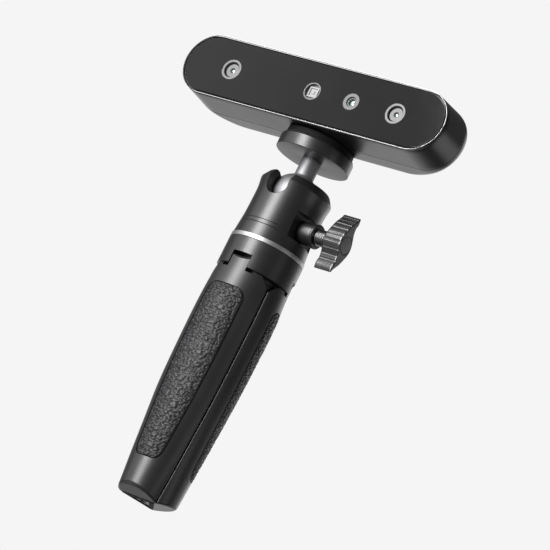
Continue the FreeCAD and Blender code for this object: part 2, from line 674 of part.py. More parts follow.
b = new_body("knob_cap", at=(0, 0, HUB + "+" + S("clamp_lift")), turn=TURN_X)
revolve(b, [(0, S("knob_far") + "-1.45"), (4.2, S("knob_far") + "-1.45"), (4.2, S("knob_far") + "-0.15"),
            (4.0, S("knob_far")), (0, S("knob_far"))])

# ---------------------------------------------------------------- ball, stem and plate
R = g("ball_rad")
z0 = H + g("ball_lift")
neck = math.sqrt(R * R - g("stem_rad") ** 2)
ball = Part.makeSphere(R, V(0, 0, z0))
ball = ball.cut(box(-15, 15, -15, 15, z0 - 14, z0 - 9.6))
ball = ball.fuse(Part.makeCylinder(g("stem_rad"), H + g("plate_low") - z0, V(0, 0, z0)))
ball = ball.fuse(Part.makeCylinder(g("stud_rad"), g("stud_top") - g("plate_low"), V(0, 0, H + g("plate_low"))))
feature("ball_stud", one(ball))
for o in NODES:
    if o.Name == "ball_seat":
        pass

b = new_body("top_plate")
revolve(b, [(3.24, HUB + "+" + S("plate_low") + "+0.1"), (S("plate_rad") + "-0.35", HUB + "+" + S("plate_low")),
            (S("plate_rad"), HUB + "+" + S("plate_low") + "+0.35"), (S("plate_rad"), HUB + "+55.9"), (S("plate_rad") + "-0.9", HUB + "+" + S("plate_top")),
            (3.24, HUB + "+" + S("plate_top"))])
b = new_body("plate_pad")
revolve(b, [(3.5, HUB + "+" + S("plate_top")), (S("pad_rad") + "-0.3", HUB + "+" + S("plate_top")), (S("pad_rad"), HUB + "+" + S("plate_top") + "+0.3"),
            (S("pad_rad"), HUB + "+" + S("pad_top") + "-0.3"), (S("pad_rad") + "-0.3", HUB + "+" + S("pad_top")), (3.5, HUB + "+" + S("pad_top"))])

# ---------------------------------------------------------------- scanner shells
fy, sy, cy, by = g("front_y"), g("seam_y"), g("cover_y"), g("back_y")
ra, rb, sa, sb = g("rim_a"), g("rim_b"), g("seam_a"), g("seam_b")
w = g("shell_wall")


def at_y(y):
    f = (y - fy) / (sy - fy)
    return ra + f * (sa - ra), rb + f * (sb - rb)


bd, bw = g("bezel_depth"), g("bezel_wide")
ch = 0.45
bez = stadium_loft([(ra - ch, rb - ch, fy), (ra, rb, fy + ch), (ra + 0.02, rb + 0.02, fy + bd)])
bez = bez.cut(stadium_loft([(ra - bw, rb - bw, fy - 1), (ra - bw, rb - bw, fy + bd + 1)]))
feature("front_bezel", one(bez))

# front housing starts a hair behind the bezel with a fine step
y1 = fy + bd
a1, b1 = at_y(y1)
hous = stadium_loft([(a1 - 0.28, b1 - 0.28, y1 + 0.02), (a1 - 0.28, b1 - 0.28, y1 + 0.3)])
a2, b2 = at_y(y1 + 0.3)
hous = hous.fuse(stadium_loft([(a2, b2, y1 + 0.3), (sa, sb, sy)]))
wb = g("window_back")
inn = stadium_loft([(a2 - w, b2 - w, wb + 1.2), (sa - w, sb - w, sy + 1)])
lip = stadium_loft([(ra - bw - 2.2, rb - bw - 2.2, y1 - 1), (ra - bw - 2.2, rb - bw - 2.2, wb + 2)])
winroom = stadium_loft([(ra - bw - 0.02, rb - bw - 0.02, y1 - 1), (ra - bw - 0.02, rb - bw - 0.02, wb + 0.02)])
hous = hous.cut(inn).cut(lip).cut(winroom)
insert_hole = Part.makeCylinder(6.15, 8, V(0, 0, H + 58))
hous = hous.cut(insert_hole)
feature("front_housing", one(hous))

# rear cover: full height, rolled over to the back, its ends swept in towards the seam
cov = [(sa, sb, cy), (sa - 0.2, sb, 0.2), (sa - 0.75, sb, 1.8), (sa - 2.1, sb, 3.6), (sa - 4.1, sb, 5.3), (sa - 6.7, sb, 6.9),
       (sa - 9.7, sb - 0.05, 8.3), (sa - 13.2, sb - 0.35, 9.7), (sa - 17.2, sb - 1.3, 11.0), (sa - 21.4, sb - 3.0, 11.95), (sa - 26.0, sb - 5.4, by)]
cover = Part.makeLoft([stadium(a, q, y, HX, HZ) for a, q, y in cov], True, False)
cin = [(sa - w, sb - w, cy - 1.0), (sa - w - 0.6, sb - w, 0.2), (sa - w - 1.6, sb - w, 1.8), (sa - w - 3.4, sb - w, 3.6),
       (sa - w - 5.8, sb - w, 5.3), (sa - w - 8.8, sb - w, 6.9), (sa - w - 12.4, sb - w - 0.4, 8.3), (sa - w - 17.0, sb - w - 1.4, 9.7), (sa - w - 22.5, sb - w - 3.4, by - w)]
cover = cover.cut(Part.makeLoft([stadium(a, q, y, HX, HZ) for a, q, y in cin], True, False))
cover = cover.cut(insert_hole)
br = g("button_rad")
cover = cover.cut(ydisc(br + 0.25, 5, 16, HX, HZ))
cover = cover.cut(ydisc(1.25, 5, 16, HX - 14, HZ))
px = HX + g("port_x")
port_hole = box(px - 3.1, px + 3.1, 5, 16, HZ - 1.75, HZ + 1.75)
port_hole = port_hole.fuse(ydisc(1.75, 5, 16, px - 3.1, HZ)).fuse(ydisc(1.75, 5, 16, px + 3.1, HZ))
cover = cover.cut(port_hole)
SCREWS = [(HX - 44, HZ - 6.5), (HX - 44, HZ + 6.5), (HX + 44, HZ - 6.5), (HX + 44, HZ + 6.5)]
for sx, sz in SCREWS:
    cover = cover.cut(ydisc(1.3, 5, 16, sx, sz)).cut(ydisc(2.3, by - 1.0, 16, sx, sz))
feature("rear_cover", one(cover))

scr = []
for sx, sz in SCREWS:
    q = ydisc(2.2, by - 1.0, by - 0.25, sx, sz).fuse(ydisc(1.2, -0.6, by - 1.0, sx, sz))
    hx = Part.makePolygon([V(sx + 0.85 * math.cos(math.radians(60 * i)), by - 0.9, sz + 0.85 * math.sin(math.radians(60 * i))) for i in range(7)])
    q = q.cut(Part.Face(hx).extrude(V(0, 2, 0)))
    scr.append(one(q))
feature("housing_screws", Part.makeCompound(scr))

gk = Part.makeLoft([stadium(sa - 0.35, sb - 0.35, sy, HX, HZ), stadium(sa - 0.35, sb - 0.35, cy, HX, HZ)], True, True)
gk = gk.cut(Part.makeLoft([stadium(sa - w, sb - w, sy - 1, HX, HZ), stadium(sa - w, sb - w, cy + 1, HX, HZ)], True, True)).cut(insert_hole)
feature("seam_gasket", one(gk))

# dark window with clear openings for the optics
win = stadium_loft([(ra - bw - 0.06, rb - bw - 0.06, g("window_front")), (ra - bw - 0.06, rb - bw - 0.06, wb)])
cams = [("left", -g("cam_x")), ("right", g("cam_x"))]
cr = g("cam_ring_rad")
for nm, dx in cams:
    win = win.cut(ydisc(cr + 0.03, fy - 1, wb + 1, HX + dx, HZ))
win = win.cut(ydisc(g("rgb_ring_rad") + 0.03, fy - 1, wb + 1, HX + g("rgb_x"), HZ))
win = win.cut(ydisc(g("proj_rad") + 0.03, fy - 1, wb + 1, HX, HZ))
feature("front_window", one(win))

# ---------------------------------------------------------------- optics
WF = "-" + S("window_front")          # local +Z of these bodies points to -Y


def optic_body(name, dx):
    return new_body(name, at=(S("head_x") + dx, 0, HUB + "+" + S("head_lift")), turn=TURN_Y)


for nm, dx in (("left", "-" + S("cam_x")), ("right", "+" + S("cam_x"))):
    b = optic_body("camera_ring_" + nm, dx)
    revolve(b, [(S("cam_bore_rad"), 18.0), (S("cam_ring_rad"), 18.0), (S("cam_ring_rad"), WF), (S("cam_bore_rad") + "+0.15", WF),
                (S("cam_bore_rad"), WF + "-0.15")])
    b = optic_body("camera_barrel_" + nm, dx)
    revolve(b, [(1.0, 19.2), (1.2, 19.6), (1.45, 19.9), (S("cam_barrel_rad") + "-0.2", 19.9), (S("cam_barrel_rad"), 19.7), (S("cam_barrel_rad"), 17.0),
                (4.1, 17.0), (4.1, 12.2), (1.0, 12.2)])
    b = optic_body("camera_lens_" + nm, dx)
    revolve(b, [(0, 18.1), (0.96, 18.1), (0.96, 19.1), (0.75, 19.32), (0.4, 19.45), (0, 19.5)])

b = optic_body("color_ring", "+" + S("rgb_x"))
revolve(b, [(S("rgb_bore_rad"), 18.0), (S("rgb_ring_rad"), 18.0), (S("rgb_ring_rad"), WF), (S("rgb_bore_rad") + "+0.15", WF),
            (S("rgb_bore_rad"), WF + "-0.15")])
b = optic_body("color_barrel", "+" + S("rgb_x"))
revolve(b, [(1.75, 19.6), (1.85, 20.4), (2.3, 20.4), (2.45, 20.25), (2.45, 17.0), (4.1, 17.0), (4.1, 12.2), (1.0, 12.2), (1.0, 17.0), (1.75, 17.4)])
b = optic_body("color_lens", "+" + S("rgb_x"))
revolve(b, [(0, 17.5), (1.7, 17.5), (1.7, 19.45), (1.2, 19.8), (0.6, 20.0), (0, 20.05)])

b = optic_body("projector_shroud", "")
revolve(b, [(0, 18.0), (S("proj_rad"), 18.0), (S("proj_rad"), WF), (4.1, WF), (3.95, WF + "-0.15"), (3.95, 19.3), (0, 19.3)])
s = sketch(b, "XY_Plane", "package_room_outline", 17.5)
hr = S("proj_chip") + "/2+0.05"
poly(s, [("-(" + hr + ")", "-(" + hr + ")"), (hr, "-(" + hr + ")"), (hr, hr), ("-(" + hr + ")", hr)])
pocket(b, s, 3, "package_room", back=True)
b = optic_body("projector_package", "")
s = sketch(b, "XY_Plane", "package_outline", 15.0)
hc = S("proj_chip") + "/2"
poly(s, [("-" + hc, "-" + hc), (hc, "-" + hc), (hc, hc), ("-" + hc, hc)])
pad(b, s, 5.1, "package_block")
s = sketch(b, "XY_Plane", "package_well_outline", 19.6)
poly(s, [(-1.95, -1.95), (1.95, -1.95), (1.95, 1.95), (-1.95, 1.95)])
pocket(b, s, 1, "package_well", back=True)
b = optic_body("projector_emitter", "")
s = sketch(b, "XY_Plane", "emitter_outline", 19.6)
poly(s, [(-0.75, -0.75), (0.75, -0.75), (0.75, 0.75), (-0.75, 0.75)])
pad(b, s, 0.35, "emitter_chip")

# board behind each camera, one group of three
bd3 = []
for dx in (-g("cam_x"), g("cam_x"), g("rgb_x")):
    bd3.append(box(HX + dx - 8.5, HX + dx + 8.5, -12.15, -10.95, HZ - 9, HZ + 9))
feature("sensor_boards", Part.makeCompound(bd3))

# aluminium bar that holds the optics in line
bench = box(HX - 60, HX + 60, -16.9, -14.0, HZ - 11.5, HZ + 11.5)
for dx in (-g("cam_x"), g("cam_x"), g("rgb_x")):
    bench = bench.cut(ydisc(4.15, -20, -10, HX + dx, HZ))
bench = bench.cut(box(HX - 2.75, HX + 2.75, -20, -10, HZ - 2.75, HZ + 2.75))
bench = bench.fuse(box(HX + 2.63 - 10, HX + 2.63 + 10, -16.9, 6.0, HZ - 13.2, HZ - 11.5))
bench = bench.cut(Part.makeCylinder(6.02, 12, V(0, 0, H + 58)))
for dx in (-56, -38, 15, 38, 58):
    bench = bench.cut(ydisc(0.85, -18, -10, HX + dx, HZ + 8.5))
feature("optical_bench", one(bench))

sink = box(HX - 12, HX + 12, -13.9, -11.9, HZ - 8, HZ + 9)
for i in range(7):
    xx = HX - 11.2 + i * 3.7
    sink = sink.fuse(box(xx - 0.5, xx + 0.5, -11.9, -6.4, HZ - 8, HZ + 9))
feature("heat_sink", one(sink))

board = box(HX - 52, HX + 52, -4.6, -3.0, HZ - 8.8, HZ + 11)
feature("main_board", board)
chips = [box(HX - 30, HX - 16, -3.0, -1.8, HZ - 6, HZ + 8), box(HX - 8, HX - 1.0, -3.0, -2.1, HZ + 6.6, HZ + 10.4),
         box(HX + 14, HX + 22, -3.0, -1.9, HZ - 5, HZ + 3), box(HX - 48, HX - 38, -3.0, -1.7, HZ - 8, HZ + 6)]
feature("board_chips", Part.makeCompound(chips))

port = box(px - 3.0, px + 3.0, 0.0, by - 0.15, HZ - 1.6, HZ + 1.6).fuse(ydisc(1.6, 0.0, by - 0.15, px - 3.0, HZ)).fuse(ydisc(1.6, 0.0, by - 0.15, px + 3.0, HZ))
hol = box(px - 3.0, px + 3.0, 2.2, by + 1, HZ - 1.3, HZ + 1.3).fuse(ydisc(1.3, 2.2, by + 1, px - 3.0, HZ)).fuse(ydisc(1.3, 2.2, by + 1, px + 3.0, HZ))
port = port.cut(hol).fuse(box(px - 3.1, px + 3.1, 2.2, by - 1.6, HZ - 0.35, HZ + 0.35)).fuse(box(px - 4.2, px + 4.2, -3.0, 0.4, HZ - 1.6, HZ + 1.6))
feature("usb_port", one(port))

pipe = ydisc(1.2, -1.4, by + 0.02, HX - 14, HZ).fuse(ydisc(1.9, -2.9, -1.4, HX - 14, HZ))
feature("status_light_pipe", one(pipe))

# scan button with its spring and switch, on the back
b = new_body("scan_button", at=(S("head_x"), 0, HUB + "+" + S("head_lift")), turn=FreeCAD.Rotation(V(1, 0, 0), -90))
revolve(b, [(0, 4.6), (1.8, 4.6), (1.8, 9.3), (6.4, 9.3), (6.4, 10.2), (S("button_rad"), 10.2), (S("button_rad"), S("back_y") + "+0.55"),
            (S("button_rad") + "-0.5", S("back_y") + "+0.95"), (2.5, S("back_y") + "+0.75"), (0, S("back_y") + "+0.7")])
sprg = ydisc(3.0, 2.5, 8.85, HX, HZ).cut(ydisc(2.3, 2, 10, HX, HZ))
feature("button_spring", one(sprg))
sw = box(HX - 3.3, HX + 3.3, -3.0, 2.4, HZ - 3.3, HZ + 3.3).fuse(ydisc(1.6, 2.4, 3.6, HX, HZ))
feature("button_switch", one(sw))

# threaded insert that takes the tripod stud
b = new_body("tripod_insert")
revolve(b, [(S("stud_rad") + "+0.06", HUB + "+" + S("pad_top") + "+0.05"), (6.0, HUB + "+" + S("pad_top") + "+0.05"),
            (6.0, HUB + "+67.5"), (0, HUB + "+67.5"), (0, HUB + "+66.4"), (S("stud_rad") + "+0.06", HUB + "+66.4")])

bs = []
for dx in (-56, -38, 15, 38, 58):
    bs.append(ydisc(0.8, -16.9, -13.9, HX + dx, HZ + 8.5).fuse(ydisc(1.5, -13.95, -12.8, HX + dx, HZ + 8.5)))
feature("bench_screws", Part.makeCompound([one(q) for q in bs]))

doc.recompute()

# the cup of the seat follows the ball: cut it with a sphere of the ball's size
seat = [o for o in NODES if o.Name == "ball_seat"][0]
tool = doc.addObject("Part::Sphere", "cup_tool")
tool.setExpression("Radius", S("ball_rad") + "+0.08")
tool.setExpression("Placement.Base.z", BL)
cupped = doc.addObject("Part::Cut", "ball_seat_cup")
cupped.Base = seat
cupped.Tool = tool
seat.Label = "ball_seat_blank"
cupped.Label = "ball_seat"
NODES[NODES.index(seat)] = cupped
doc.recompute()

bad = []
for o in doc.Objects:
    if any(st in o.State for st in ("Invalid", "Error")):
        bad.append((o.Name, o.State))
os.makedirs("parts", exist_ok=True)
for o in NODES:
    sh = o.Shape
    if sh.isNull() or not sh.isValid() or not sh.Solids:
        bad.append((o.Label, "shape"))
if bad:
    raise SystemExit("failed objects: %r" % bad)
labels = [o.Label for o in NODES]
assert len(labels) == len(set(labels)) and len(labels) <= 60
for o in NODES:
    o.Shape.exportStep("parts/%s.step" % o.Label)
    bb = o.Shape.BoundBox
    print("%-22s solids %d  vol %9.2f  x %.1f..%.1f y %.1f..%.1f z %.1f..%.1f" % (
        o.Label, len(o.Shape.Solids), o.Shape.Volume, bb.XMin, bb.XMax, bb.YMin, bb.YMax, bb.ZMin, bb.ZMax))
print(len(labels), "nodes")
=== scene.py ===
import bpy, bmesh, json, math
import numpy as np
from mathutils import Vector, Matrix
from mathutils.bvhtree import BVHTree

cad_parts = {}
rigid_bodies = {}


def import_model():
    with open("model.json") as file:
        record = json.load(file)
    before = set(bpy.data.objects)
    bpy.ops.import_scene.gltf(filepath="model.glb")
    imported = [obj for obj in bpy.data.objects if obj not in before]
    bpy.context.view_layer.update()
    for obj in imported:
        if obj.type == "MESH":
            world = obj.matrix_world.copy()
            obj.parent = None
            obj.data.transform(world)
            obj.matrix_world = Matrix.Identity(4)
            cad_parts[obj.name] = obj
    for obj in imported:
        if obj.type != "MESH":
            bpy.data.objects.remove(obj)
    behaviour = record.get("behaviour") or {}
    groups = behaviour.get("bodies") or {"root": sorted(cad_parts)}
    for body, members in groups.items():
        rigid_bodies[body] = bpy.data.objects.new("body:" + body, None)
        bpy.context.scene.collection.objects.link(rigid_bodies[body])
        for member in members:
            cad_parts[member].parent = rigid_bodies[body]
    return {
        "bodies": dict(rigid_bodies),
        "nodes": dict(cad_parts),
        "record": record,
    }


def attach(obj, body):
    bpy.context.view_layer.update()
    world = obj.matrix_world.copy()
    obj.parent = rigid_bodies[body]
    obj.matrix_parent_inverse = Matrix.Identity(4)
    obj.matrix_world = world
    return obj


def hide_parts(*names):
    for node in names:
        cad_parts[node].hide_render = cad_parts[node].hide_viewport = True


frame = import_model()
NODES, BODIES, REC = frame["nodes"], frame["bodies"], frame["record"]
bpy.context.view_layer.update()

MM = 0.001
H = 132.1                      # hub level, mm
HX, HZ = -2.63, 132.1 + 76.74  # scanner head centre, mm
LEG_AZ = {"front": -86.0, "right": 34.0, "rear": 154.0}


# ------------------------------------------------------------------ materials
def tree(name):
    m = bpy.data.materials.new(name)
    m.use_nodes = True
    nt = m.node_tree
    nt.nodes.clear()
    out = nt.nodes.new("ShaderNodeOutputMaterial")
    bs = nt.nodes.new("ShaderNodeBsdfPrincipled")
    nt.links.new(bs.outputs["BSDF"], out.inputs["Surface"])
    return m, nt, bs


def coords(nt, scale=(1, 1, 1), rot=(0, 0, 0)):
    tc = nt.nodes.new("ShaderNodeTexCoord")
    mp = nt.nodes.new("ShaderNodeMapping")
    mp.inputs["Scale"].default_value = scale
    mp.inputs["Rotation"].default_value = rot
    nt.links.new(tc.outputs["Object"], mp.inputs["Vector"])
    return mp.outputs["Vector"]


def noise(nt, vec, scale, detail=3.0, rough=0.55, distort=0.0):
    n = nt.nodes.new("ShaderNodeTexNoise")
    n.inputs["Scale"].default_value = scale
    n.inputs["Detail"].default_value = detail
    n.inputs["Roughness"].default_value = rough
    n.inputs["Distortion"].default_value = distort
    nt.links.new(vec, n.inputs["Vector"])
    return n.outputs["Fac"]


def ramp(nt, fac, a, b, lo=0.3, hi=0.7):
    r = nt.nodes.new("ShaderNodeValToRGB")
    r.color_ramp.elements[0].position = lo
    r.color_ramp.elements[1].position = hi
    r.color_ramp.elements[0].color = (*a, 1)
    r.color_ramp.elements[1].color = (*b, 1)
    nt.links.new(fac, r.inputs["Fac"])
    return r.outputs["Color"]


def span(nt, fac, lo, hi, a=0.25, b=0.75):
    m = nt.nodes.new("ShaderNodeMapRange")
    m.inputs["From Min"].default_value = a
    m.inputs["From Max"].default_value = b
    m.inputs["To Min"].default_value = lo
    m.inputs["To Max"].default_value = hi
    nt.links.new(fac, m.inputs["Value"])
    return m.outputs["Result"]


def maths(nt, op, a, b=None):
    m = nt.nodes.new("ShaderNodeMath")
    m.operation = op
    for i, v in enumerate((a, b)):
        if v is None:
            continue
        if isinstance(v, (int, float)):
            m.inputs[i].default_value = v
        else:
            nt.links.new(v, m.inputs[i])
    return m.outputs["Value"]


def bump(nt, height, strength, dist):
    b = nt.nodes.new("ShaderNodeBump")
    b.inputs["Strength"].default_value = strength
    b.inputs["Distance"].default_value = dist
    nt.links.new(height, b.inputs["Height"])
    return b.outputs["Normal"]


def finish_mat(name, dark, light, rough, metal=0.0, spec=0.5, patch=60.0, grain=2600.0, grain_scale=(1, 1, 1),
               rvar=0.05, bstr=0.12, bdist=0.00002, coat=0.0, coat_rough=0.1, ior=1.5, sheen=0.0):
    """Two-tone colour, mottled roughness and a fine relief of the same grain."""
    m, nt, bs = tree(name)
    v = coords(nt)
    vg = coords(nt, scale=grain_scale)
    big = noise(nt, v, patch, 3.0)
    fine = noise(nt, vg, grain, 4.0, 0.6)
    nt.links.new(ramp(nt, big, dark, light), bs.inputs["Base Color"])
    mix = maths(nt, "ADD", maths(nt, "MULTIPLY", big, 0.5), maths(nt, "MULTIPLY", fine, 0.5))
    nt.links.new(span(nt, mix, rough - rvar, rough + rvar), bs.inputs["Roughness"])
    nt.links.new(bump(nt, fine, bstr, bdist), bs.inputs["Normal"])
    bs.inputs["Metallic"].default_value = metal
    bs.inputs["Specular IOR Level"].default_value = spec
    bs.inputs["IOR"].default_value = ior
    bs.inputs["Coat Weight"].default_value = coat
    bs.inputs["Coat Roughness"].default_value = coat_rough
    bs.inputs["Sheen Weight"].default_value = sheen
    return m


def g3(v):
    return (v, v, v)


M = {}
M["satin_black_metal"] = finish_mat("satin_black_metal", g3(0.0075), g3(0.0105), 0.36, spec=0.62, grain=3200, bstr=0.10)
M["satin_black_knob"] = finish_mat("satin_black_knob", g3(0.012), g3(0.018), 0.27, spec=0.9, grain=3000, bstr=0.08)
M["leg_plastic"] = finish_mat("leg_plastic", (0.0115, 0.0115, 0.0120), (0.0150, 0.0150, 0.0156), 0.39, spec=0.55, grain=4200, bstr=0.14)
M["housing_black"] = finish_mat("housing_black", g3(0.0075), g3(0.0105), 0.30, spec=0.6, grain=4200, bstr=0.12)
M["window_black"] = finish_mat("window_black", g3(0.0030), g3(0.0042), 0.055, spec=0.5, grain=600, rvar=0.012, bstr=0.01)
M["bright_rim"] = finish_mat("bright_rim", g3(0.66), g3(0.74), 0.20, metal=1.0, grain=5000, rvar=0.04, bstr=0.05)
M["polished_metal"] = finish_mat("polished_metal", (0.22, 0.22, 0.228), (0.26, 0.26, 0.27), 0.56, metal=1.0, grain=1500, grain_scale=(0.4, 0.4, 3.0), rvar=0.04, bstr=0.05)
M["black_rubber"] = finish_mat("black_rubber", g3(0.004), g3(0.007), 0.70, spec=0.12, grain=2400, bstr=0.35, bdist=0.00003)
M["lens_ring_gray"] = finish_mat("lens_ring_gray", g3(0.112), g3(0.138), 0.42, spec=0.5, grain=4000, bstr=0.08)
M["lens_ring_dark"] = finish_mat("lens_ring_dark", g3(0.075), g3(0.095), 0.42, spec=0.5, grain=4000, bstr=0.08)
M["barrel_gray"] = finish_mat("barrel_gray", g3(0.105), g3(0.135), 0.45, metal=0.05, spec=0.5, grain=4000, bstr=0.08)
M["ring_satin"] = finish_mat("ring_satin", g3(0.33), g3(0.39), 0.46, metal=1.0, grain=2600, bstr=0.05)
# painted light: a lighter grey copy of the knob's black for its flat end faces, as if lit from the right
M["knob_face_painted_light"] = finish_mat("knob_face_painted_light", g3(0.150), g3(0.178), 0.50, spec=0.5, grain=2600, bstr=0.06)
M["bezel_black"] = finish_mat("bezel_black", g3(0.0045), g3(0.0065), 0.22, spec=0.4, grain=3000, bstr=0.05)
M["emitter_ceramic"] = finish_mat("emitter_ceramic", g3(0.21), g3(0.27), 0.40, spec=0.5, grain=3500, bstr=0.15)
M["circuit_board"] = finish_mat("circuit_board", (0.010, 0.060, 0.022), (0.016, 0.085, 0.034), 0.38, spec=0.5, grain=1400, bstr=0.2)
M["chip_black"] = finish_mat("chip_black", g3(0.012), g3(0.018), 0.55, grain=2600)
M["bare_aluminium"] = finish_mat("bare_aluminium", g3(0.55), g3(0.64), 0.34, metal=1.0, grain=1800, grain_scale=(0.3, 3, 3), bstr=0.1)
M["steel"] = finish_mat("steel", g3(0.24), g3(0.30), 0.34, metal=1.0, grain=2500, bstr=0.06)
M["acetal_white"] = finish_mat("acetal_white", g3(0.62), g3(0.70), 0.42, grain=2500)
M["dark_casting"] = finish_mat("dark_casting", g3(0.018), g3(0.028), 0.48, spec=0.5, grain=1800, bstr=0.3, bdist=0.00003)
M["insert_brass"] = finish_mat("insert_brass", (0.58, 0.40, 0.16), (0.66, 0.47, 0.20), 0.30, metal=1.0, grain=2000)
M["button_black"] = finish_mat("button_black", g3(0.014), g3(0.020), 0.42, grain=3600, bstr=0.15)


def make_glass_painted_glint():
    # painted glint: the base colour is light green-white where the glass faces the viewer and dark towards its grazing
    # edges
    m, nt, bs = tree("lens_glass")
    v = coords(nt)
    facing_glint = nt.nodes.new("ShaderNodeLayerWeight")
    facing_glint.inputs["Blend"].default_value = 0.35
    n = noise(nt, v, 900, 2.0)
    f = maths(nt, "ADD", maths(nt, "MULTIPLY", facing_glint.outputs["Facing"], 0.8), maths(nt, "MULTIPLY", n, 0.2))
    nt.links.new(ramp(nt, f, (0.62, 0.80, 0.72), (0.05, 0.10, 0.10), 0.02, 0.45), bs.inputs["Base Color"])
    bs.inputs["Metallic"].default_value = 0.72
    nt.links.new(span(nt, n, 0.02, 0.05), bs.inputs["Roughness"])
    bs.inputs["Specular IOR Level"].default_value = 0.9
    bs.inputs["Coat Weight"].default_value = 1.0
    bs.inputs["Coat Roughness"].default_value = 0.02
    return m


def make_pipe():
    m, nt, bs = tree("light_pipe")
    v = coords(nt)
    n = noise(nt, v, 1500, 2.0)
    nt.links.new(ramp(nt, n, (0.50, 0.56, 0.60), (0.62, 0.68, 0.72)), bs.inputs["Base Color"])
    nt.links.new(span(nt, n, 0.18, 0.30), bs.inputs["Roughness"])
    bs.inputs["Coat Weight"].default_value = 0.4
    return m


def make_leather(name="grip_leather", depth=1.0):
    """Dark leather: crossing wrinkles over fine pebbles, with painted shade: darker in the creases, pebble grooves and
    at the rolled border, lighter on the ridges.
    """
    m, nt, bs = tree(name)
    tc = nt.nodes.new("ShaderNodeTexCoord")
    mp = nt.nodes.new("ShaderNodeMapping")
    mp.inputs["Scale"].default_value = (1, 1, 1)
    nt.links.new(tc.outputs["UV"], mp.inputs["Vector"])
    v = mp.outputs["Vector"]
    w = nt.nodes.new("ShaderNodeTexVoronoi")
    w.feature = "DISTANCE_TO_EDGE"
    w.inputs["Scale"].default_value = 1250.0
    nt.links.new(v, w.inputs["Vector"])
    cell = span(nt, w.outputs["Distance"], 0.0, 1.0, 0.0, 0.22)
    fine = noise(nt, v, 3600, 3.0, 0.6)
    # painted shade: the hide's colour follows its relief height, with random fine grain mixed in
    att = nt.nodes.new("ShaderNodeAttribute")
    att.attribute_name = "ridge_shade"
    ridge_shade = att.outputs["Fac"]
    shade_and_grain = maths(nt, "ADD", maths(nt, "MULTIPLY", ridge_shade, 0.80), maths(nt, "ADD", maths(nt, "MULTIPLY", cell, 0.08), maths(nt, "MULTIPLY", fine, 0.12)))
    nt.links.new(ramp(nt, shade_and_grain, (0.0008, 0.0008, 0.0010), (0.0200, 0.0202, 0.0225), 0.34, 0.86), bs.inputs["Base Color"])
    nt.links.new(span(nt, shade_and_grain, 0.62, 0.42, 0.2, 0.9), bs.inputs["Roughness"])
    h = maths(nt, "ADD", maths(nt, "MULTIPLY", cell, 0.55), maths(nt, "MULTIPLY", fine, 0.45))
    nt.links.new(bump(nt, h, 0.32, 0.00005), bs.inputs["Normal"])
    bs.inputs["Specular IOR Level"].default_value = 0.36
    return m


M["lens_glass"] = make_glass_painted_glint()
M["light_pipe"] = make_pipe()
M["grip_leather"] = make_leather()

SLOT = {q["node"]: q["material_slot"] for q in REC["subparts"]}


def paint(o, slot):
    o.data.materials.clear()
    o.data.materials.append(M[slot])
    for p in o.data.polygons:
        p.material_index = 0


# ------------------------------------------------------------------ mesh helpers
def mesh_obj(name, verts, faces, slot, body, replaces=(), smooth=True, sharp=None):
    me = bpy.data.meshes.new(name)
    me.from_pydata([tuple(float(c) * MM for c in v) for v in verts], [], faces)
    me.validate()
    o = bpy.data.objects.new(name, me)
    bpy.context.scene.collection.objects.link(o)
    bm = bmesh.new()
    bm.from_mesh(me)
    bmesh.ops.remove_doubles(bm, verts=bm.verts, dist=1e-7)
    bmesh.ops.recalc_face_normals(bm, faces=bm.faces)
    for f in bm.faces:
        f.smooth = smooth
    if sharp is not None:
        for e in bm.edges:
            if len(e.link_faces) == 2 and e.calc_face_angle(0.0) > math.radians(sharp):
                e.smooth = False
    bm.to_mesh(me)
    bm.free()
    paint(o, slot)
    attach(o, body)
    if replaces:
        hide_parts(*replaces)
    return o


# ------------------------------------------------------------------ leather grips
def leg_axes(az):
    a = math.radians(az)
    return Vector((math.cos(a), math.sin(a), 0)), Vector((-math.sin(a), math.cos(a), 0))


INLAY = [(10.4, -31.0), (10.5, -50.0), (10.2, -66.0), (9.6, -80.0), (8.6, -94.0), (7.4, -108.0)]


def half_width(z):
    """Half width of the grip at height z below hub level, with its rounded ends."""
    if z > -31.0:
        t = (z + 31.0) / 6.1
        t = min(1.0, max(0.0, t))
        # same curve as the CAD outline: a quick turn into the straight end
        s = 1 - (1 - t) ** 0.5 if t < 1 else 1.0
        P = [(10.4, 0.0), (10.4, 0.6), (8.2, 1.0), (5.0, 1.0)]
        return bez_x(P, t)
    if z < -108.0:
        t = min(1.0, (-108.0 - z) / 6.5)
        P = [(7.4, 0.0), (7.15, 0.6), (5.8, 1.0), (2.8, 1.0)]
        return bez_x(P, t)
    zs = [p[1] for p in INLAY][::-1]
    ws = [p[0] for p in INLAY][::-1]
    # smooth spline through the table
    return float(catmull(zs, ws, z))


def bez_x(P, t):
    lo, hi = 0.0, 1.0
    for _ in range(40):
        m = (lo + hi) / 2
        y = 3 * (1 - m) ** 2 * m * P[1][1] + 3 * (1 - m) * m * m * P[2][1] + m ** 3 * P[3][1]
        if y < t:
            lo = m
        else:
            hi = m
    m = (lo + hi) / 2
    return (1 - m) ** 3 * P[0][0] + 3 * (1 - m) ** 2 * m * P[1][0] + 3 * (1 - m) * m * m * P[2][0] + m ** 3 * P[3][0]


def catmull(xs, ys, x):
    n = len(xs)
    for i in range(n - 1):
        if xs[i] <= x <= xs[i + 1]:
            break
    h = xs[i + 1] - xs[i]
    t = (x - xs[i]) / h

    def slope(k):
        if k <= 0:
            return (ys[1] - ys[0]) / (xs[1] - xs[0])
        if k >= n - 1:
            return (ys[-1] - ys[-2]) / (xs[-1] - xs[-2])
        return (ys[k + 1] - ys[k - 1]) / (xs[k + 1] - xs[k - 1])
    m0, m1 = slope(i) * h, slope(i + 1) * h
    return (2 * t ** 3 - 3 * t ** 2 + 1) * ys[i] + (t ** 3 - 2 * t ** 2 + t) * m0 + (-2 * t ** 3 + 3 * t ** 2) * ys[i + 1] + (t ** 3 - t ** 2) * m1


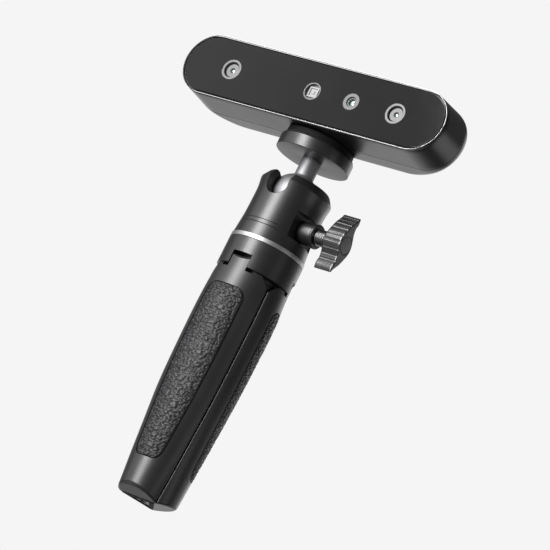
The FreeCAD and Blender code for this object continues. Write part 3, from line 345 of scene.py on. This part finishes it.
class Grain:
    """Seeded value noise and cell creases on a plane, for the leather's relief."""

    def __init__(self, seed):
        r = np.random.RandomState(seed)
        self.g = r.rand(256, 256)
        self.p = r.rand(256, 256, 2)

    def value(self, x, y):
        xi, yi = np.floor(x).astype(int), np.floor(y).astype(int)
        fx, fy = x - xi, y - yi
        fx, fy = fx * fx * (3 - 2 * fx), fy * fy * (3 - 2 * fy)
        a = self.g[xi & 255, yi & 255]
        b = self.g[(xi + 1) & 255, yi & 255]
        c = self.g[xi & 255, (yi + 1) & 255]
        d = self.g[(xi + 1) & 255, (yi + 1) & 255]
        return (a * (1 - fx) + b * fx) * (1 - fy) + (c * (1 - fx) + d * fx) * fy

    def cells(self, x, y):
        """Distance to the second nearest point less that to the nearest."""
        xi, yi = np.floor(x).astype(int), np.floor(y).astype(int)
        d1 = np.full(x.shape, 9.0)
        d2 = np.full(x.shape, 9.0)
        for i in (-1, 0, 1):
            for j in (-1, 0, 1):
                q = self.p[(xi + i) & 255, (yi + j) & 255]
                d = np.hypot(xi + i + q[..., 0] - x, yi + j + q[..., 1] - y)
                nd1 = np.minimum(d1, d)
                d2 = np.minimum(np.maximum(d1, d), d2)
                d1 = nd1
        return d2 - d1


def leather_height(U, Z, seed):
    """Relief of the hide in 0..1: long creases across the leg, broken into pebbles."""
    n = Grain(seed)
    wx = (n.value(U * 0.35 + 3, Z * 0.35) - 0.5) * 2.2 + (n.value(U * 1.1, Z * 1.1 + 9) - 0.5) * 0.8
    wz = (n.value(U * 0.30 + 40, Z * 0.45 + 7) - 0.5) * 2.6 + (n.value(U * 1.2 + 70, Z * 1.2) - 0.5) * 0.7
    c1 = n.cells(U * 0.29 + wx * 0.34, Z * 0.70 + wz * 0.50)
    c2 = n.cells(U * 0.52 + wx * 0.3 + 31, Z * 1.05 + wz * 0.4 + 17)
    a = np.clip(c1 / 0.34, 0, 1)
    b = np.clip(c2 / 0.34, 0, 1)
    a = a * a * (3 - 2 * a)
    b = b * b * (3 - 2 * b)
    soft = n.value(U * 2.1 + 11, Z * 3.0 + 5)
    return np.clip(0.60 * a + 0.26 * b + 0.14 * soft, 0, 1)


def leather_grip(side, seed):
    node = NODES["grip_inlay_" + side]
    u, t = leg_axes(LEG_AZ[side])
    bvh = BVHTree.FromPolygons([v.co for v in node.data.vertices], [tuple(p.vertices) for p in node.data.polygons])
    NC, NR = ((72, 300))
    top, low = -24.9, -114.5
    zs = np.linspace(low, top, NR + 1)
    # more rows near the rounded ends
    e = 0.5 - 0.5 * np.cos(np.linspace(0, math.pi, NR + 1))
    zs = low + (top - low) * (0.75 * np.linspace(0, 1, NR + 1) + 0.25 * e)
    cs = np.linspace(-1, 1, NC + 1)
    cs = np.sign(cs) * np.abs(cs) ** 0.93
    HW = np.array([half_width(z) for z in zs])
    U = HW[:, None] * cs[None, :]
    Z = np.repeat(zs[:, None], NC + 1, 1)
    hgt = leather_height(U + 30, Z + 200, seed)
    # distance to the border of the outline
    dside = HW[:, None] - np.abs(U)
    dend = np.minimum(Z - low, top - Z)
    border = np.minimum(dside, dend)
    # rounded corners are nearer than either
    roll = np.clip(border / 0.9, 0, 1)
    drop = (1 - np.sqrt(np.clip(1 - (1 - roll) ** 2, 0, 1))) * 0.42
    relief = (hgt - 0.60) * 0.66 * np.clip(border / 0.7, 0.15, 1)
    verts, uv, ridge_shade = [], [], []
    base = np.zeros((NR + 1, NC + 1))
    for i in range(NR + 1):
        for j in range(NC + 1):
            o = u * 0.04 + t * (U[i, j] * MM * 0.9985) + Vector((0, 0, (H + min(max(Z[i, j], low + 0.02), top - 0.02)) * MM))
            hit = bvh.ray_cast(o, -u)
            base[i, j] = hit[0].dot(u) / MM if hit[0] is not None else -1
    good = base > 14
    for i in range(NR + 1):
        row = base[i]
        ok = good[i]
        if ok.all():
            continue
        if ok.any():
            idx = np.arange(NC + 1)
            base[i] = np.interp(idx, idx[ok], row[ok])
        else:
            base[i] = base[i - 1] if i else base[i + 1]
    for i in range(NR + 1):
        for j in range(NC + 1):
            r = base[i, j] - 0.02 - drop[i, j] + relief[i, j]
            p = u * r + t * U[i, j] + Vector((0, 0, H + Z[i, j]))
            verts.append(p)
            uv.append(((U[i, j] + 20) * MM, (Z[i, j] + 140) * MM))
            # painted shade: relief height, faded to nothing at the border, darkens the creases and the rolled edge
            ridge_shade.append(float(hgt[i, j] * np.clip(border[i, j] / 0.5, 0.0, 1)))
    k = NC + 1
    faces = [(i * k + j, i * k + j + 1, (i + 1) * k + j + 1, (i + 1) * k + j) for i in range(NR) for j in range(NC)]
    # skirt down into the recess, then a back face
    ring = [j for j in range(k)] + [i * k + NC for i in range(1, NR + 1)] + [NR * k + j for j in range(NC - 1, -1, -1)] + [i * k for i in range(NR - 1, 0, -1)]
    n0 = len(verts)
    for q in ring:
        p = verts[q]
        verts.append(p - u * 0.42)
        uv.append(uv[q])
        # painted shade: the skirt down into the recess takes the darkest colour
        ridge_shade.append(0.0)
    m = len(ring)
    for a in range(m):
        b = (a + 1) % m
        faces.append((ring[b], ring[a], n0 + a, n0 + b))
    faces.append(tuple(n0 + a for a in range(m)))
    me = bpy.data.meshes.new("leather_grip_" + side)
    me.from_pydata([tuple(p * MM) for p in verts], [], faces)
    at = me.attributes.new("ridge_shade", "FLOAT", "POINT")
    at.data.foreach_set("value", ridge_shade)
    lay = me.uv_layers.new(name="hide")
    loops = np.empty(len(me.loops), int)
    me.loops.foreach_get("vertex_index", loops)
    lay.data.foreach_set("uv", np.array(uv)[loops].ravel())
    for p in me.polygons:
        p.use_smooth = True
    me.polygons[-1].use_smooth = False
    o = bpy.data.objects.new("leather_grip_" + side, me)
    bpy.context.scene.collection.objects.link(o)
    paint(o, "grip_leather")
    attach(o, "leg_" + side)
    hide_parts("grip_inlay_" + side)
    return o


for k, side in enumerate(("front", "right", "rear")):
    leather_grip(side, 11 + 7 * k)

# ------------------------------------------------------------------ turned parts
def rounded(profile, fillet, steps=4, keep=()):
    """Profile points with each corner turned into a small arc."""
    n = len(profile)
    out = []
    for i, p in enumerate(profile):
        p = Vector((p[0], p[1]))
        if i in (0, n - 1) or i in keep or p.x < 1e-6:
            out.append(tuple(p))
            continue
        a, b = Vector(profile[i - 1][:2]) - p, Vector(profile[i + 1][:2]) - p
        la, lb = a.length, b.length
        if la < 1e-6 or lb < 1e-6:
            continue
        a, b = a / la, b / lb
        turn = math.pi - a.angle(b)
        if turn < math.radians(12):
            out.append(tuple(p))
            continue
        cut = min(fillet * math.tan(turn / 2), la * 0.42, lb * 0.42)
        r = cut / math.tan(turn / 2)
        h = r / math.cos(turn / 2)
        c = p + (a + b).normalized() * h
        s, e = p + a * cut - c, p + b * cut - c
        ang = s.angle_signed(e)
        for k in range(steps + 1):
            t = -ang * k / steps
            q = Vector((s.x * math.cos(t) - s.y * math.sin(t), s.x * math.sin(t) + s.y * math.cos(t)))
            out.append(tuple(c + q))
    return out


def turned(name, profile, slot, body, replaces=(), axis="Z", at=(0, 0, 0), fillet=0.12, seg=128, closed=True, shape=None):
    """Solid turned about an axis from (radius, height) points, corners eased."""
    if closed:
        m = len(profile)
        prof = []
        ext = [profile[-1]] + list(profile) + [profile[0]]
        prof = rounded(ext, fillet)[1:-1]
    else:
        prof = rounded(profile, fillet)
    verts, faces, rows = [], [], []
    for r, z in prof:
        if r < 1e-6:
            rows.append([len(verts)])
            verts.append((0.0, 0.0, z))
        else:
            row = []
            for k in range(seg):
                t = 2 * math.pi * k / seg
                rr, zz = (r, z) if shape is None else shape(r, z, t)
                row.append(len(verts))
                verts.append((rr * math.cos(t), rr * math.sin(t), zz))
            rows.append(row)
    pairs = list(zip(rows, rows[1:]))
    if closed:
        pairs.append((rows[-1], rows[0]))
    for a, b in pairs:
        if len(a) == 1 and len(b) == 1:
            continue
        for k in range(seg):
            j = (k + 1) % seg
            if len(a) == 1:
                faces.append((a[0], b[k], b[j]))
            elif len(b) == 1:
                faces.append((a[k], b[0], a[j]))
            else:
                faces.append((a[k], b[k], b[j], a[j]))
    out = []
    for x, y, z in verts:
        if axis == "Z":
            q = (x, y, z)
        elif axis == "X":
            q = (z, y, -x)
        elif axis == "-Y":
            q = (x, -z, y)
        else:
            q = (x, z, -y)
        out.append((q[0] + at[0], q[1] + at[1], q[2] + at[2]))
    return mesh_obj(name, out, faces, slot, body, replaces)


def spline_pts(pts, n):
    """Smooth curve through points, n samples in each span."""
    out = []
    m = len(pts)
    for i in range(m - 1):
        p0, p1, p2, p3 = pts[max(i - 1, 0)], pts[i], pts[i + 1], pts[min(i + 2, m - 1)]
        for k in range(n):
            t = k / n
            out.append(tuple(0.5 * (2 * p1[c] + (p2[c] - p0[c]) * t + (2 * p0[c] - 5 * p1[c] + 4 * p2[c] - p3[c]) * t * t
                                    + (3 * p1[c] - p0[c] - 3 * p2[c] + p3[c]) * t ** 3) for c in (0, 1)))
    out.append(tuple(pts[-1][:2]))
    return out


turned("ring_bright", [(11, H), (18.9, H), (18.9, H + 2.17), (11, H + 2.17)], "bright_rim", "hub", ("silver_ring",), fillet=0.16, seg=192).data.materials[0] = M["ring_satin"]
turned("plate_top", [(3.24, H + 50.1), (18.8, H + 50.1), (18.8, H + 55.9), (17.9, H + 57.4), (3.24, H + 57.4)],
       "satin_black_metal", "head", ("top_plate",), fillet=0.22, seg=192)
turned("plate_cushion", [(3.5, H + 57.4), (17.2, H + 57.4), (17.2, H + 60.1), (3.5, H + 60.1)], "black_rubber", "head", ("plate_pad",), fillet=0.35, seg=160)

# ball, neck, stem and stud in one turning
R = 12.05
BZ = H + 29.7
bottom = BZ - 9.6
ballp = [(0.0, bottom)]
a0 = math.asin(-9.6 / R)
a1 = math.acos(5.35 / R)
for k in range(49):
    t = a0 + (a1 - a0) * k / 48
    ballp.append((R * math.cos(t), BZ + R * math.sin(t)))
ballp += [(5.0, BZ + R * math.sin(a1) + 0.25), (4.85, BZ + R * math.sin(a1) + 0.8), (4.85, H + 49.1), (4.7, H + 49.4), (4.7, H + 50.1), (3.175, H + 50.1), (3.175, H + 65.1), (2.9, H + 65.4), (0.0, H + 65.4)]
turned("ball_and_stem", ballp, "polished_metal", "ball", ("ball_stud",), fillet=0.1, seg=160, closed=False)

CZ = H + 14.8
turned("bushing_turned", [(3.06, 12.5), (4.45, 12.5), (4.45, 13.7), (5.5, 13.7), (5.5, 21.5), (3.06, 21.5)],
       "satin_black_metal", "ball_head", ("clamp_bushing",), axis="X", at=(0, 0, CZ), fillet=0.3, seg=96)
turned("washer_turned", [(3.02, 21.65), (6.0, 21.65), (6.0, 22.5), (5.5, 23.1), (3.02, 23.1)],
       "satin_black_knob", "clamp_knob", ("clamp_washer",), axis="X", at=(0, 0, CZ), fillet=0.25, seg=96)


def clamp_screw():
    """Clamp screw with a real spiral thread between washer and knob."""
    seg, pitch, root, crest = 72, 1.05, 3.42, 4.05
    x0, x1 = 23.15, 29.45
    prof = [(0.0, 5.1), (1.3, 5.1), (1.5, 5.25), (2.9, 6.65), (3.0, 6.85), (3.0, 23.15)]
    verts, rows = [], []

    def ring(r_of, x):
        row = []
        for k in range(seg):
            t = 2 * math.pi * k / seg
            r = r_of(t)
            row.append(len(verts))
            verts.append((x, r * math.sin(t), CZ - r * math.cos(t)))
        rows.append(row)
    tip = len(verts)
    verts.append((5.1, 0, CZ))
    for r, x in prof[1:]:
        ring(lambda t, r=r: r, x)
    n = 96
    for i in range(n + 1):
        x = x0 + 0.02 + (x1 - x0 - 0.04) * i / n

        def rr(t, x=x):
            ph = ((x - x0) / pitch + t / (2 * math.pi)) % 1.0
            w = 1 - abs(2 * ph - 1)
            f = min(1.0, max(0.0, (w - 0.16) / 0.56))
            run = min(1.0, (x - x0) / 0.5) * min(1.0, (x1 - x) / 0.3)
            return root + (crest - root) * f * max(run, 0.0)
        ring(rr, x)
    ring(lambda t: 3.0, x1)
    ring(lambda t: 3.0, 36.5)
    end = len(verts)
    verts.append((36.5, 0, CZ))
    faces = []
    for a, b in zip(rows, rows[1:]):
        for k in range(seg):
            j = (k + 1) % seg
            faces.append((a[k], a[j], b[j], b[k]))
    for k in range(seg):
        j = (k + 1) % seg
        faces.append((tip, rows[0][j], rows[0][k]))
        faces.append((end, rows[-1][k], rows[-1][j]))
    return mesh_obj("clamp_screw_threaded", verts, faces, "steel", "clamp_knob", ("clamp_screw",))


clamp_screw()
# the cap's end face takes the lighter grey of painted light
turned("knob_cap_turned", [(0, 38.05), (4.2, 38.05), (4.2, 39.5), (0, 39.5)], "satin_black_knob", "clamp_knob", ("knob_cap",), axis="X", at=(0, 0, CZ), fillet=0.22, seg=96, closed=False).data.materials[0] = M["knob_face_painted_light"]


# ------------------------------------------------------------------ two-winged knob
KNOB = [(1.7, 15.0), (2.5, 12.0), (1.9, 9.6), (2.35, 7.0), (3.55, 4.6), (4.75, 2.0), (5.25, -0.4), (5.0, -3.0), (4.0, -5.6), (3.1, -7.6), (2.0, -9.8)]


def knob():
    half = KNOB + [(-0.2, -12.8)]
    loop = [(y, z) for y, z in half] + [(-y, -z) for y, z in half]
    m = len(loop)
    fine = []
    for i in range(m):
        p0, p1, p2, p3 = (loop[(i + q) % m] for q in (-1, 0, 1, 2))
        for k in range(14):
            t = k / 14
            fine.append(tuple(0.5 * (2 * p1[c] + (p2[c] - p0[c]) * t + (2 * p0[c] - 5 * p1[c] + 4 * p2[c] - p3[c]) * t * t
                                     + (3 * p1[c] - p0[c] - 3 * p2[c] + p3[c]) * t ** 3) for c in (0, 1)))
    P = np.array(fine)
    # equal steps along the outline
    Q = np.vstack([P, P[:1]])
    d = np.r_[0, np.cumsum(np.linalg.norm(np.diff(Q, axis=0), axis=1))]
    N = 560
    t = np.linspace(0, d[-1], N + 1)[:-1]
    P = np.stack([np.interp(t, d, Q[:, 0]), np.interp(t, d, Q[:, 1])], 1)
    T = np.roll(P, -1, 0) - np.roll(P, 1, 0)
    T /= np.linalg.norm(T, axis=1)[:, None]
    Nn = np.stack([T[:, 1], -T[:, 0]], 1)
    if (Nn * P).sum() < 0:
        Nn = -Nn
    # shallow flutes round the outline, about 2 mm apart
    n_fl = 22
    ph = ((t / d[-1] + 0.012 * np.sin(2 * math.pi * 2 * t / d[-1])) * n_fl + 0.3) % 1.0
    w = 1 - np.abs(2 * ph - 1)
    flute = np.clip((w - 0.42) / 0.40, 0, 1)
    flute = flute * flute * (3 - 2 * flute)
    tips = np.exp(-((np.abs(P[:, 1]) - 15.0) / 1.6) ** 2)
    depth = 0.17 * (1 - tips)
    x0, x1 = 29.5, 39.5
    rim = [(x0, 0.55), (x0 + 0.07, 0.30), (x0 + 0.22, 0.12), (x0 + 0.45, 0.0), (x0 + 1.0, 0.0), (x1 - 1.1, 0.0), (x1 - 0.55, 0.0), (x1 - 0.28, 0.10), (x1 - 0.09, 0.26), (x1, 0.50)]
    fade = [0.0, 0.2, 0.6, 0.9, 1.0, 1.0, 0.75, 0.4, 0.15, 0.0]
    verts, rows = [], []
    for (x, inset), fd in zip(rim, fade):
        row = []
        S = P - Nn * (inset + flute * depth * fd)[:, None]
        for y, z in S:
            row.append(len(verts))
            verts.append((x, y, CZ + z))
        rows.append(row)
    faces = []
    for a, b in zip(rows, rows[1:]):
        for k in range(N):
            j = (k + 1) % N
            faces.append((a[k], a[j], b[j], b[k]))
    # flat ends, with the seat of the cap let into the outer one
    cap = 96
    hole = []
    for r, x in ((4.62, x1), (4.42, x1 - 0.16), (4.25, x1 - 0.2), (4.25, x1 - 1.5)):
        row = []
        for k in range(cap):
            q = 2 * math.pi * k / cap
            row.append(len(verts))
            verts.append((x, r * math.cos(q), CZ + r * math.sin(q)))
        hole.append(row)
    for a, b in zip(hole, hole[1:]):
        for k in range(cap):
            j = (k + 1) % cap
            faces.append((a[k], a[j], b[j], b[k]))
    faces.append(tuple(hole[-1]))
    me = bpy.data.meshes.new("knob_fluted")
    me.from_pydata([tuple(c * MM for c in v) for v in verts], [], faces)
    bm = bmesh.new()
    bm.from_mesh(me)
    bm.verts.ensure_lookup_table()
    bm.edges.ensure_lookup_table()

    def ring_edges(row):
        n = len(row)
        es = []
        for k in range(n):
            a, b = bm.verts[row[k]], bm.verts[row[(k + 1) % n]]
            e = bm.edges.get((a, b)) or bm.edges.new((a, b))
            es.append(e)
        return es
    back = ring_edges(rows[0])
    fe = ring_edges(rows[-1]) + ring_edges(hole[0])
    r1 = bmesh.ops.triangle_fill(bm, use_beauty=True, use_dissolve=False, edges=back)
    r2 = bmesh.ops.triangle_fill(bm, use_beauty=True, use_dissolve=False, edges=fe)
    flat = set()
    for r in (r1, r2):
        for g in r["geom"]:
            if isinstance(g, bmesh.types.BMFace):
                flat.add(g)
    bmesh.ops.recalc_face_normals(bm, faces=bm.faces)
    for f in bm.faces:
        f.smooth = True
    for f in flat:
        for e in f.edges:
            if any(q not in flat for q in e.link_faces):
                e.smooth = False
    bm.to_mesh(me)
    bm.free()
    o = bpy.data.objects.new("knob_fluted", me)
    bpy.context.scene.collection.objects.link(o)
    paint(o, "satin_black_knob")
    # painted light: the flat outer end face takes the lighter grey
    o.data.materials.append(M["knob_face_painted_light"])
    for p in o.data.polygons:
        if p.normal.x > 0.98 and p.center.x > 38.0 * MM:
            p.material_index = 1
    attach(o, "clamp_knob")
    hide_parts("lock_knob")
    return o


knob()


# ------------------------------------------------------------------ scanner front
def stadium_pts(a, b, n_arc=48, n_line=40):
    """Points of a stadium outline, half sizes a and b, about the head centre."""
    s = a - b
    pts = []
    for k in range(n_arc):
        q = -math.pi / 2 + math.pi * k / n_arc
        pts.append((s + b * math.cos(q), b * math.sin(q)))
    for k in range(n_line):
        pts.append((s - 2 * s * k / n_line, b))
    for k in range(n_arc):
        q = math.pi / 2 + math.pi * k / n_arc
        pts.append((-s + b * math.cos(q), b * math.sin(q)))
    for k in range(n_line):
        pts.append((-s + 2 * s * k / n_line, -b))
    return pts


def hoop(name, rows, slot, body, replaces, mats=None, sharp=None):
    """Closed ring swept round the stadium: rows of (half length, half height, y)."""
    verts, loops = [], []
    for a, b, y in rows:
        loops.append([len(verts) + k for k in range(176)])
        verts += [(HX + x, y, HZ + z) for x, z in stadium_pts(a, b)]
    faces, tag = [], []
    n = len(rows)
    for i in range(n):
        a, b = loops[i], loops[(i + 1) % n]
        for k in range(176):
            j = (k + 1) % 176
            faces.append((a[k], a[j], b[j], b[k]))
            tag.append(i)
    o = mesh_obj(name, verts, faces, slot, body, replaces, sharp=sharp)
    return o, tag


fy = -21.4
ra, rb, sa_, sb_ = 77.0, 15.65, 77.4, 16.6
bez_rows = [(ra - 0.75, rb - 0.75, fy + 1.08), (ra - 0.75, rb - 0.75, fy + 0.26), (ra - 0.52, rb - 0.52, fy), (ra - 0.25, rb - 0.25, fy),
            (ra - 0.195, rb - 0.195, fy), (ra - 0.01, rb - 0.01, fy + 0.185), (ra - 0.03, rb - 0.03, fy + 0.28),
            (ra - 0.26, rb - 0.26, fy + 0.42), (ra - 0.26, rb - 0.26, fy + 1.08)]
bez, tag = hoop("bezel_ring", bez_rows, "bezel_black", "head", ("front_bezel",), sharp=30)
bez.data.materials.append(M["bright_rim"])
bez.data.materials.append(M["black_rubber"])
# the eased edges and a hairline beside the outer one are bare bright metal; the rest of the front face and the inner
# wall beside the glass take the dull black rubber finish, painted shade for the dark line and the shadowed gap at the
# glass
for p in bez.data.polygons:
    yy = p.center.y / MM - fy
    dx = max(abs(p.center.x / MM - HX) - (ra - rb), 0.0)
    inset = rb - math.hypot(dx, p.center.z / MM - HZ)
    if (0.25 < abs(p.normal.y) < 0.95 and yy < 0.24) or (yy < 0.02 and inset < 0.24):
        p.material_index = 1
    elif (flat_y := abs(p.normal.y)) > 0.95 and yy < 0.02 and inset < 0.60:
        p.material_index = 2
    elif flat_y < 0.1 and yy > 0.3 and inset > 0.5:
        p.material_index = 2


def at_y(y):
    f = (y - fy) / (-1.45 - fy)
    return ra + f * (sa_ - ra), rb + f * (sb_ - rb)


def housing():
    y1 = fy + 1.1
    a1, b1 = at_y(y1)
    a2, b2 = at_y(y1 + 0.3)
    rows = [(a2 - 1.6, b2 - 1.6, -18.8), (ra - 2.95, rb - 2.95, -18.8), (ra - 2.95, rb - 2.95, -19.98), (a1 - 0.80, b1 - 0.80, -19.98),
            (a1 - 0.80, b1 - 0.80, y1 + 0.02), (a1 - 0.30, b1 - 0.30, y1 + 0.02), (a1 - 0.28, b1 - 0.28, y1 + 0.06), (a1 - 0.28, b1 - 0.28, y1 + 0.26),
            (a1 - 0.22, b1 - 0.22, y1 + 0.29), (a2 - 0.08, b2 - 0.08, y1 + 0.31), (a2 - 0.02, b2 - 0.02, y1 + 0.36), (a2 + 0.01, b2 + 0.01, y1 + 0.48)]
    for y in (-17.0, -12.0, -7.0, -3.0):
        a, b = at_y(y)
        rows.append((a, b, y))
    for k in range(6):
        t = k / 5 * math.pi / 2
        rows.append((sa_ - 0.35 * (1 - math.cos(t)), sb_ - 0.35 * (1 - math.cos(t)), -1.80 + 0.35 * math.sin(t)))
    rows += [(sa_ - 1.55, sb_ - 1.55, -1.45), (sa_ - 1.6, sb_ - 1.6, -1.5), (sa_ - 1.62, sb_ - 1.62, -8.0)]
    return hoop("housing_front", rows, "housing_black", "head", ("front_housing",), sharp=38)


housing()


def window():
    """Dark front glass with eased edges and four round openings."""
    cu = bpy.data.curves.new("window_outline", "CURVE")
    cu.dimensions = "2D"
    cu.fill_mode = "BOTH"
    e = 0.14
    rings = [[(x, z) for x, z in stadium_pts(ra - 1.22 - e, rb - 1.22 - e, 40, 30)]]
    for dx, r in ((-48.95, 5.23), (48.95, 5.23), (23.2, 4.28), (0.0, 4.53)):
        rings.append([(dx + (r + e) * math.cos(2 * math.pi * k / 72), (r + e) * math.sin(2 * math.pi * k / 72)) for k in range(72)])
    for pts in rings:
        sp = cu.splines.new("POLY")
        sp.points.add(len(pts) - 1)
        for q, (x, z) in zip(sp.points, pts):
            q.co = (x * MM, z * MM, 0, 1)
        sp.use_cyclic_u = True
    cu.extrude = (1.1 / 2 - e) * MM
    cu.bevel_depth = e * MM
    cu.bevel_resolution = 2
    tmp = bpy.data.objects.new("window_tmp", cu)
    bpy.context.scene.collection.objects.link(tmp)
    dg = bpy.context.evaluated_depsgraph_get()
    me = bpy.data.meshes.new_from_object(tmp.evaluated_get(dg))
    bpy.data.objects.remove(tmp)
    # flat outline to the head's front: x stays, drawn height becomes z, thickness becomes y
    me.transform(Matrix(((1, 0, 0, HX * MM), (0, 0, -1, -20.55 * MM), (0, 1, 0, HZ * MM), (0, 0, 0, 1))))
    me.name = "window_glass"
    bm = bmesh.new()
    bm.from_mesh(me)
    bmesh.ops.remove_doubles(bm, verts=bm.verts, dist=2e-6)
    bmesh.ops.recalc_face_normals(bm, faces=bm.faces)
    for f in bm.faces:
        f.smooth = abs(f.normal.y) < 0.999
    bm.to_mesh(me)
    bm.free()
    o = bpy.data.objects.new("window_glass", me)
    bpy.context.scene.collection.objects.link(o)
    paint(o, "window_black")
    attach(o, "head")
    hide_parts("front_window")
    return o


window()

# ------------------------------------------------------------------ CAD nodes that stay
for n, o in NODES.items():
    if o.hide_render:
        continue
    s = SLOT.get(n)
    if s is None:
        raise RuntimeError("no material slot for " + n)
    paint(o, s)

# ------------------------------------------------------------------ camera
cam_d = bpy.data.cameras.new("camera")
cam_d.sensor_width = 36.0
cam_d.lens = 36.0 * 4000.0 / 550.0
cam_d.clip_start, cam_d.clip_end = 0.05, 50
cam = bpy.data.objects.new("camera", cam_d)
bpy.context.scene.collection.objects.link(cam)
RIGHT = Vector((0.7820701, 0.4479319, 0.4332705))
DOWN = Vector((0.2390524, 0.4264305, -0.8723594))
FWD = Vector((-0.5755174, 0.7858206, 0.2264193))
UP, BACK = -DOWN, -FWD
R3 = Matrix((RIGHT, UP, BACK)).transposed()
cam.matrix_world = Matrix.Translation((1.090225, -1.474593, -0.301578)) @ R3.to_4x4()
bpy.context.scene.camera = cam


def in_view(right, up, back):
    """Direction given by its parts to the right, up and towards the camera."""
    return (RIGHT * right + UP * up + BACK * back).normalized()


# ------------------------------------------------------------------ floor
def pale_floor():
    me = bpy.data.meshes.new("floor")
    n, r = 96, 3.0
    vs = [(0, 0, -0.0002)] + [(r * math.cos(2 * math.pi * i / n), r * math.sin(2 * math.pi * i / n), -0.0002) for i in range(n)]
    me.from_pydata(vs, [], [(0, 1 + i, 1 + (i + 1) % n) for i in range(n)])
    o = bpy.data.objects.new("floor", me)
    bpy.context.scene.collection.objects.link(o)
    m = bpy.data.materials.new("floor_pale")
    m.use_nodes = True
    nt = m.node_tree
    nt.nodes.clear()
    out = nt.nodes.new("ShaderNodeOutputMaterial")
    df = nt.nodes.new("ShaderNodeBsdfDiffuse")
    df.inputs["Color"].default_value = (0.86, 0.86, 0.86, 1)
    tr = nt.nodes.new("ShaderNodeBsdfTransparent")
    mx = nt.nodes.new("ShaderNodeMixShader")
    ge = nt.nodes.new("ShaderNodeNewGeometry")
    lp = nt.nodes.new("ShaderNodeLightPath")
    front = maths(nt, "SUBTRACT", 1.0, ge.outputs["Backfacing"])
    shown = maths(nt, "MULTIPLY", front, lp.outputs["Is Camera Ray"])
    nt.links.new(maths(nt, "SUBTRACT", 1.0, shown), mx.inputs["Fac"])
    nt.links.new(df.outputs["BSDF"], mx.inputs[1])
    nt.links.new(tr.outputs["BSDF"], mx.inputs[2])
    nt.links.new(mx.outputs["Shader"], out.inputs["Surface"])
    me.materials.append(m)
    return o


pale_floor()

# ------------------------------------------------------------------ light
def soft_world():
    w = bpy.data.worlds.new("studio")
    bpy.context.scene.world = w
    w.use_nodes = True
    nt = w.node_tree
    nt.nodes.clear()
    out = nt.nodes.new("ShaderNodeOutputWorld")
    tc = nt.nodes.new("ShaderNodeTexCoord")
    total = None
    # direction, weight, cosine where the glow starts, cosine where it is full
    lobes = [
        (Vector((-0.54, 0.815, -0.21)).normalized(), 0.86, 0.74, 0.93),
        (Vector((-0.82, -0.536, 0.186)).normalized(), 1.15, 0.90, 0.972),
        (in_view(-0.35, 0.93, -0.10), 0.60, 0.87, 0.97),
        (Vector((-0.5755, -0.2264, -0.7858)).normalized(), 1.2, 0.93, 0.975),
        (Vector((-0.5755, 0.2264, 0.7858)).normalized(), 1.9, 0.93, 0.975),
        (Vector((0.560, 0.8058, -0.176)).normalized(), 1.15, 0.915, 0.985),
        (Vector((0.985, -0.04, -0.05)).normalized(), 1.2, 0.955, 0.99),
        (Vector((0.03, 0.974, 0.20)).normalized(), 1.7, 0.93, 0.985),
    ]
    for d, wgt, a, b in lobes:
        dp = nt.nodes.new("ShaderNodeVectorMath")
        dp.operation = "DOT_PRODUCT"
        nt.links.new(tc.outputs["Generated"], dp.inputs[0])
        dp.inputs[1].default_value = tuple(d)
        mr = nt.nodes.new("ShaderNodeMapRange")
        mr.interpolation_type = "SMOOTHSTEP"
        mr.inputs["From Min"].default_value = a
        mr.inputs["From Max"].default_value = b
        mr.inputs["To Max"].default_value = wgt
        nt.links.new(dp.outputs["Value"], mr.inputs["Value"])
        total = mr.outputs["Result"] if total is None else maths(nt, "ADD", total, mr.outputs["Result"])
    total = maths(nt, "ADD", total, 0.12)
    glow = nt.nodes.new("ShaderNodeBackground")
    glow.inputs["Color"].default_value = (1, 1, 1, 1)
    nt.links.new(total, glow.inputs["Strength"])
    seen = nt.nodes.new("ShaderNodeBackground")
    seen.inputs["Color"].default_value = (0.913, 0.913, 0.913, 1)
    lp = nt.nodes.new("ShaderNodeLightPath")
    mx = nt.nodes.new("ShaderNodeMixShader")
    nt.links.new(lp.outputs["Is Camera Ray"], mx.inputs["Fac"])
    nt.links.new(glow.outputs["Background"], mx.inputs[1])
    nt.links.new(seen.outputs["Background"], mx.inputs[2])
    nt.links.new(mx.outputs["Shader"], out.inputs["Surface"])


def softbox(name, direction, dist, sx, sy, power, at=(0.0, 0.0, 0.11), spread=180):
    d = bpy.data.lights.new(name, "AREA")
    d.shape = "RECTANGLE"
    d.size, d.size_y = sx, sy
    d.energy = power
    d.spread = math.radians(spread)
    o = bpy.data.objects.new(name, d)
    bpy.context.scene.collection.objects.link(o)
    c = Vector(at)
    o.location = c + direction * dist
    o.rotation_euler = (c - o.location).to_track_quat("-Z", "Z").to_euler()
    return o


soft_world()
key = Vector((-0.262, -0.936, 0.235)).normalized()
softbox("key_left", key, 1.15, 0.46, 1.3, 33)

sc = bpy.context.scene
sc.view_settings.view_transform = "Standard"
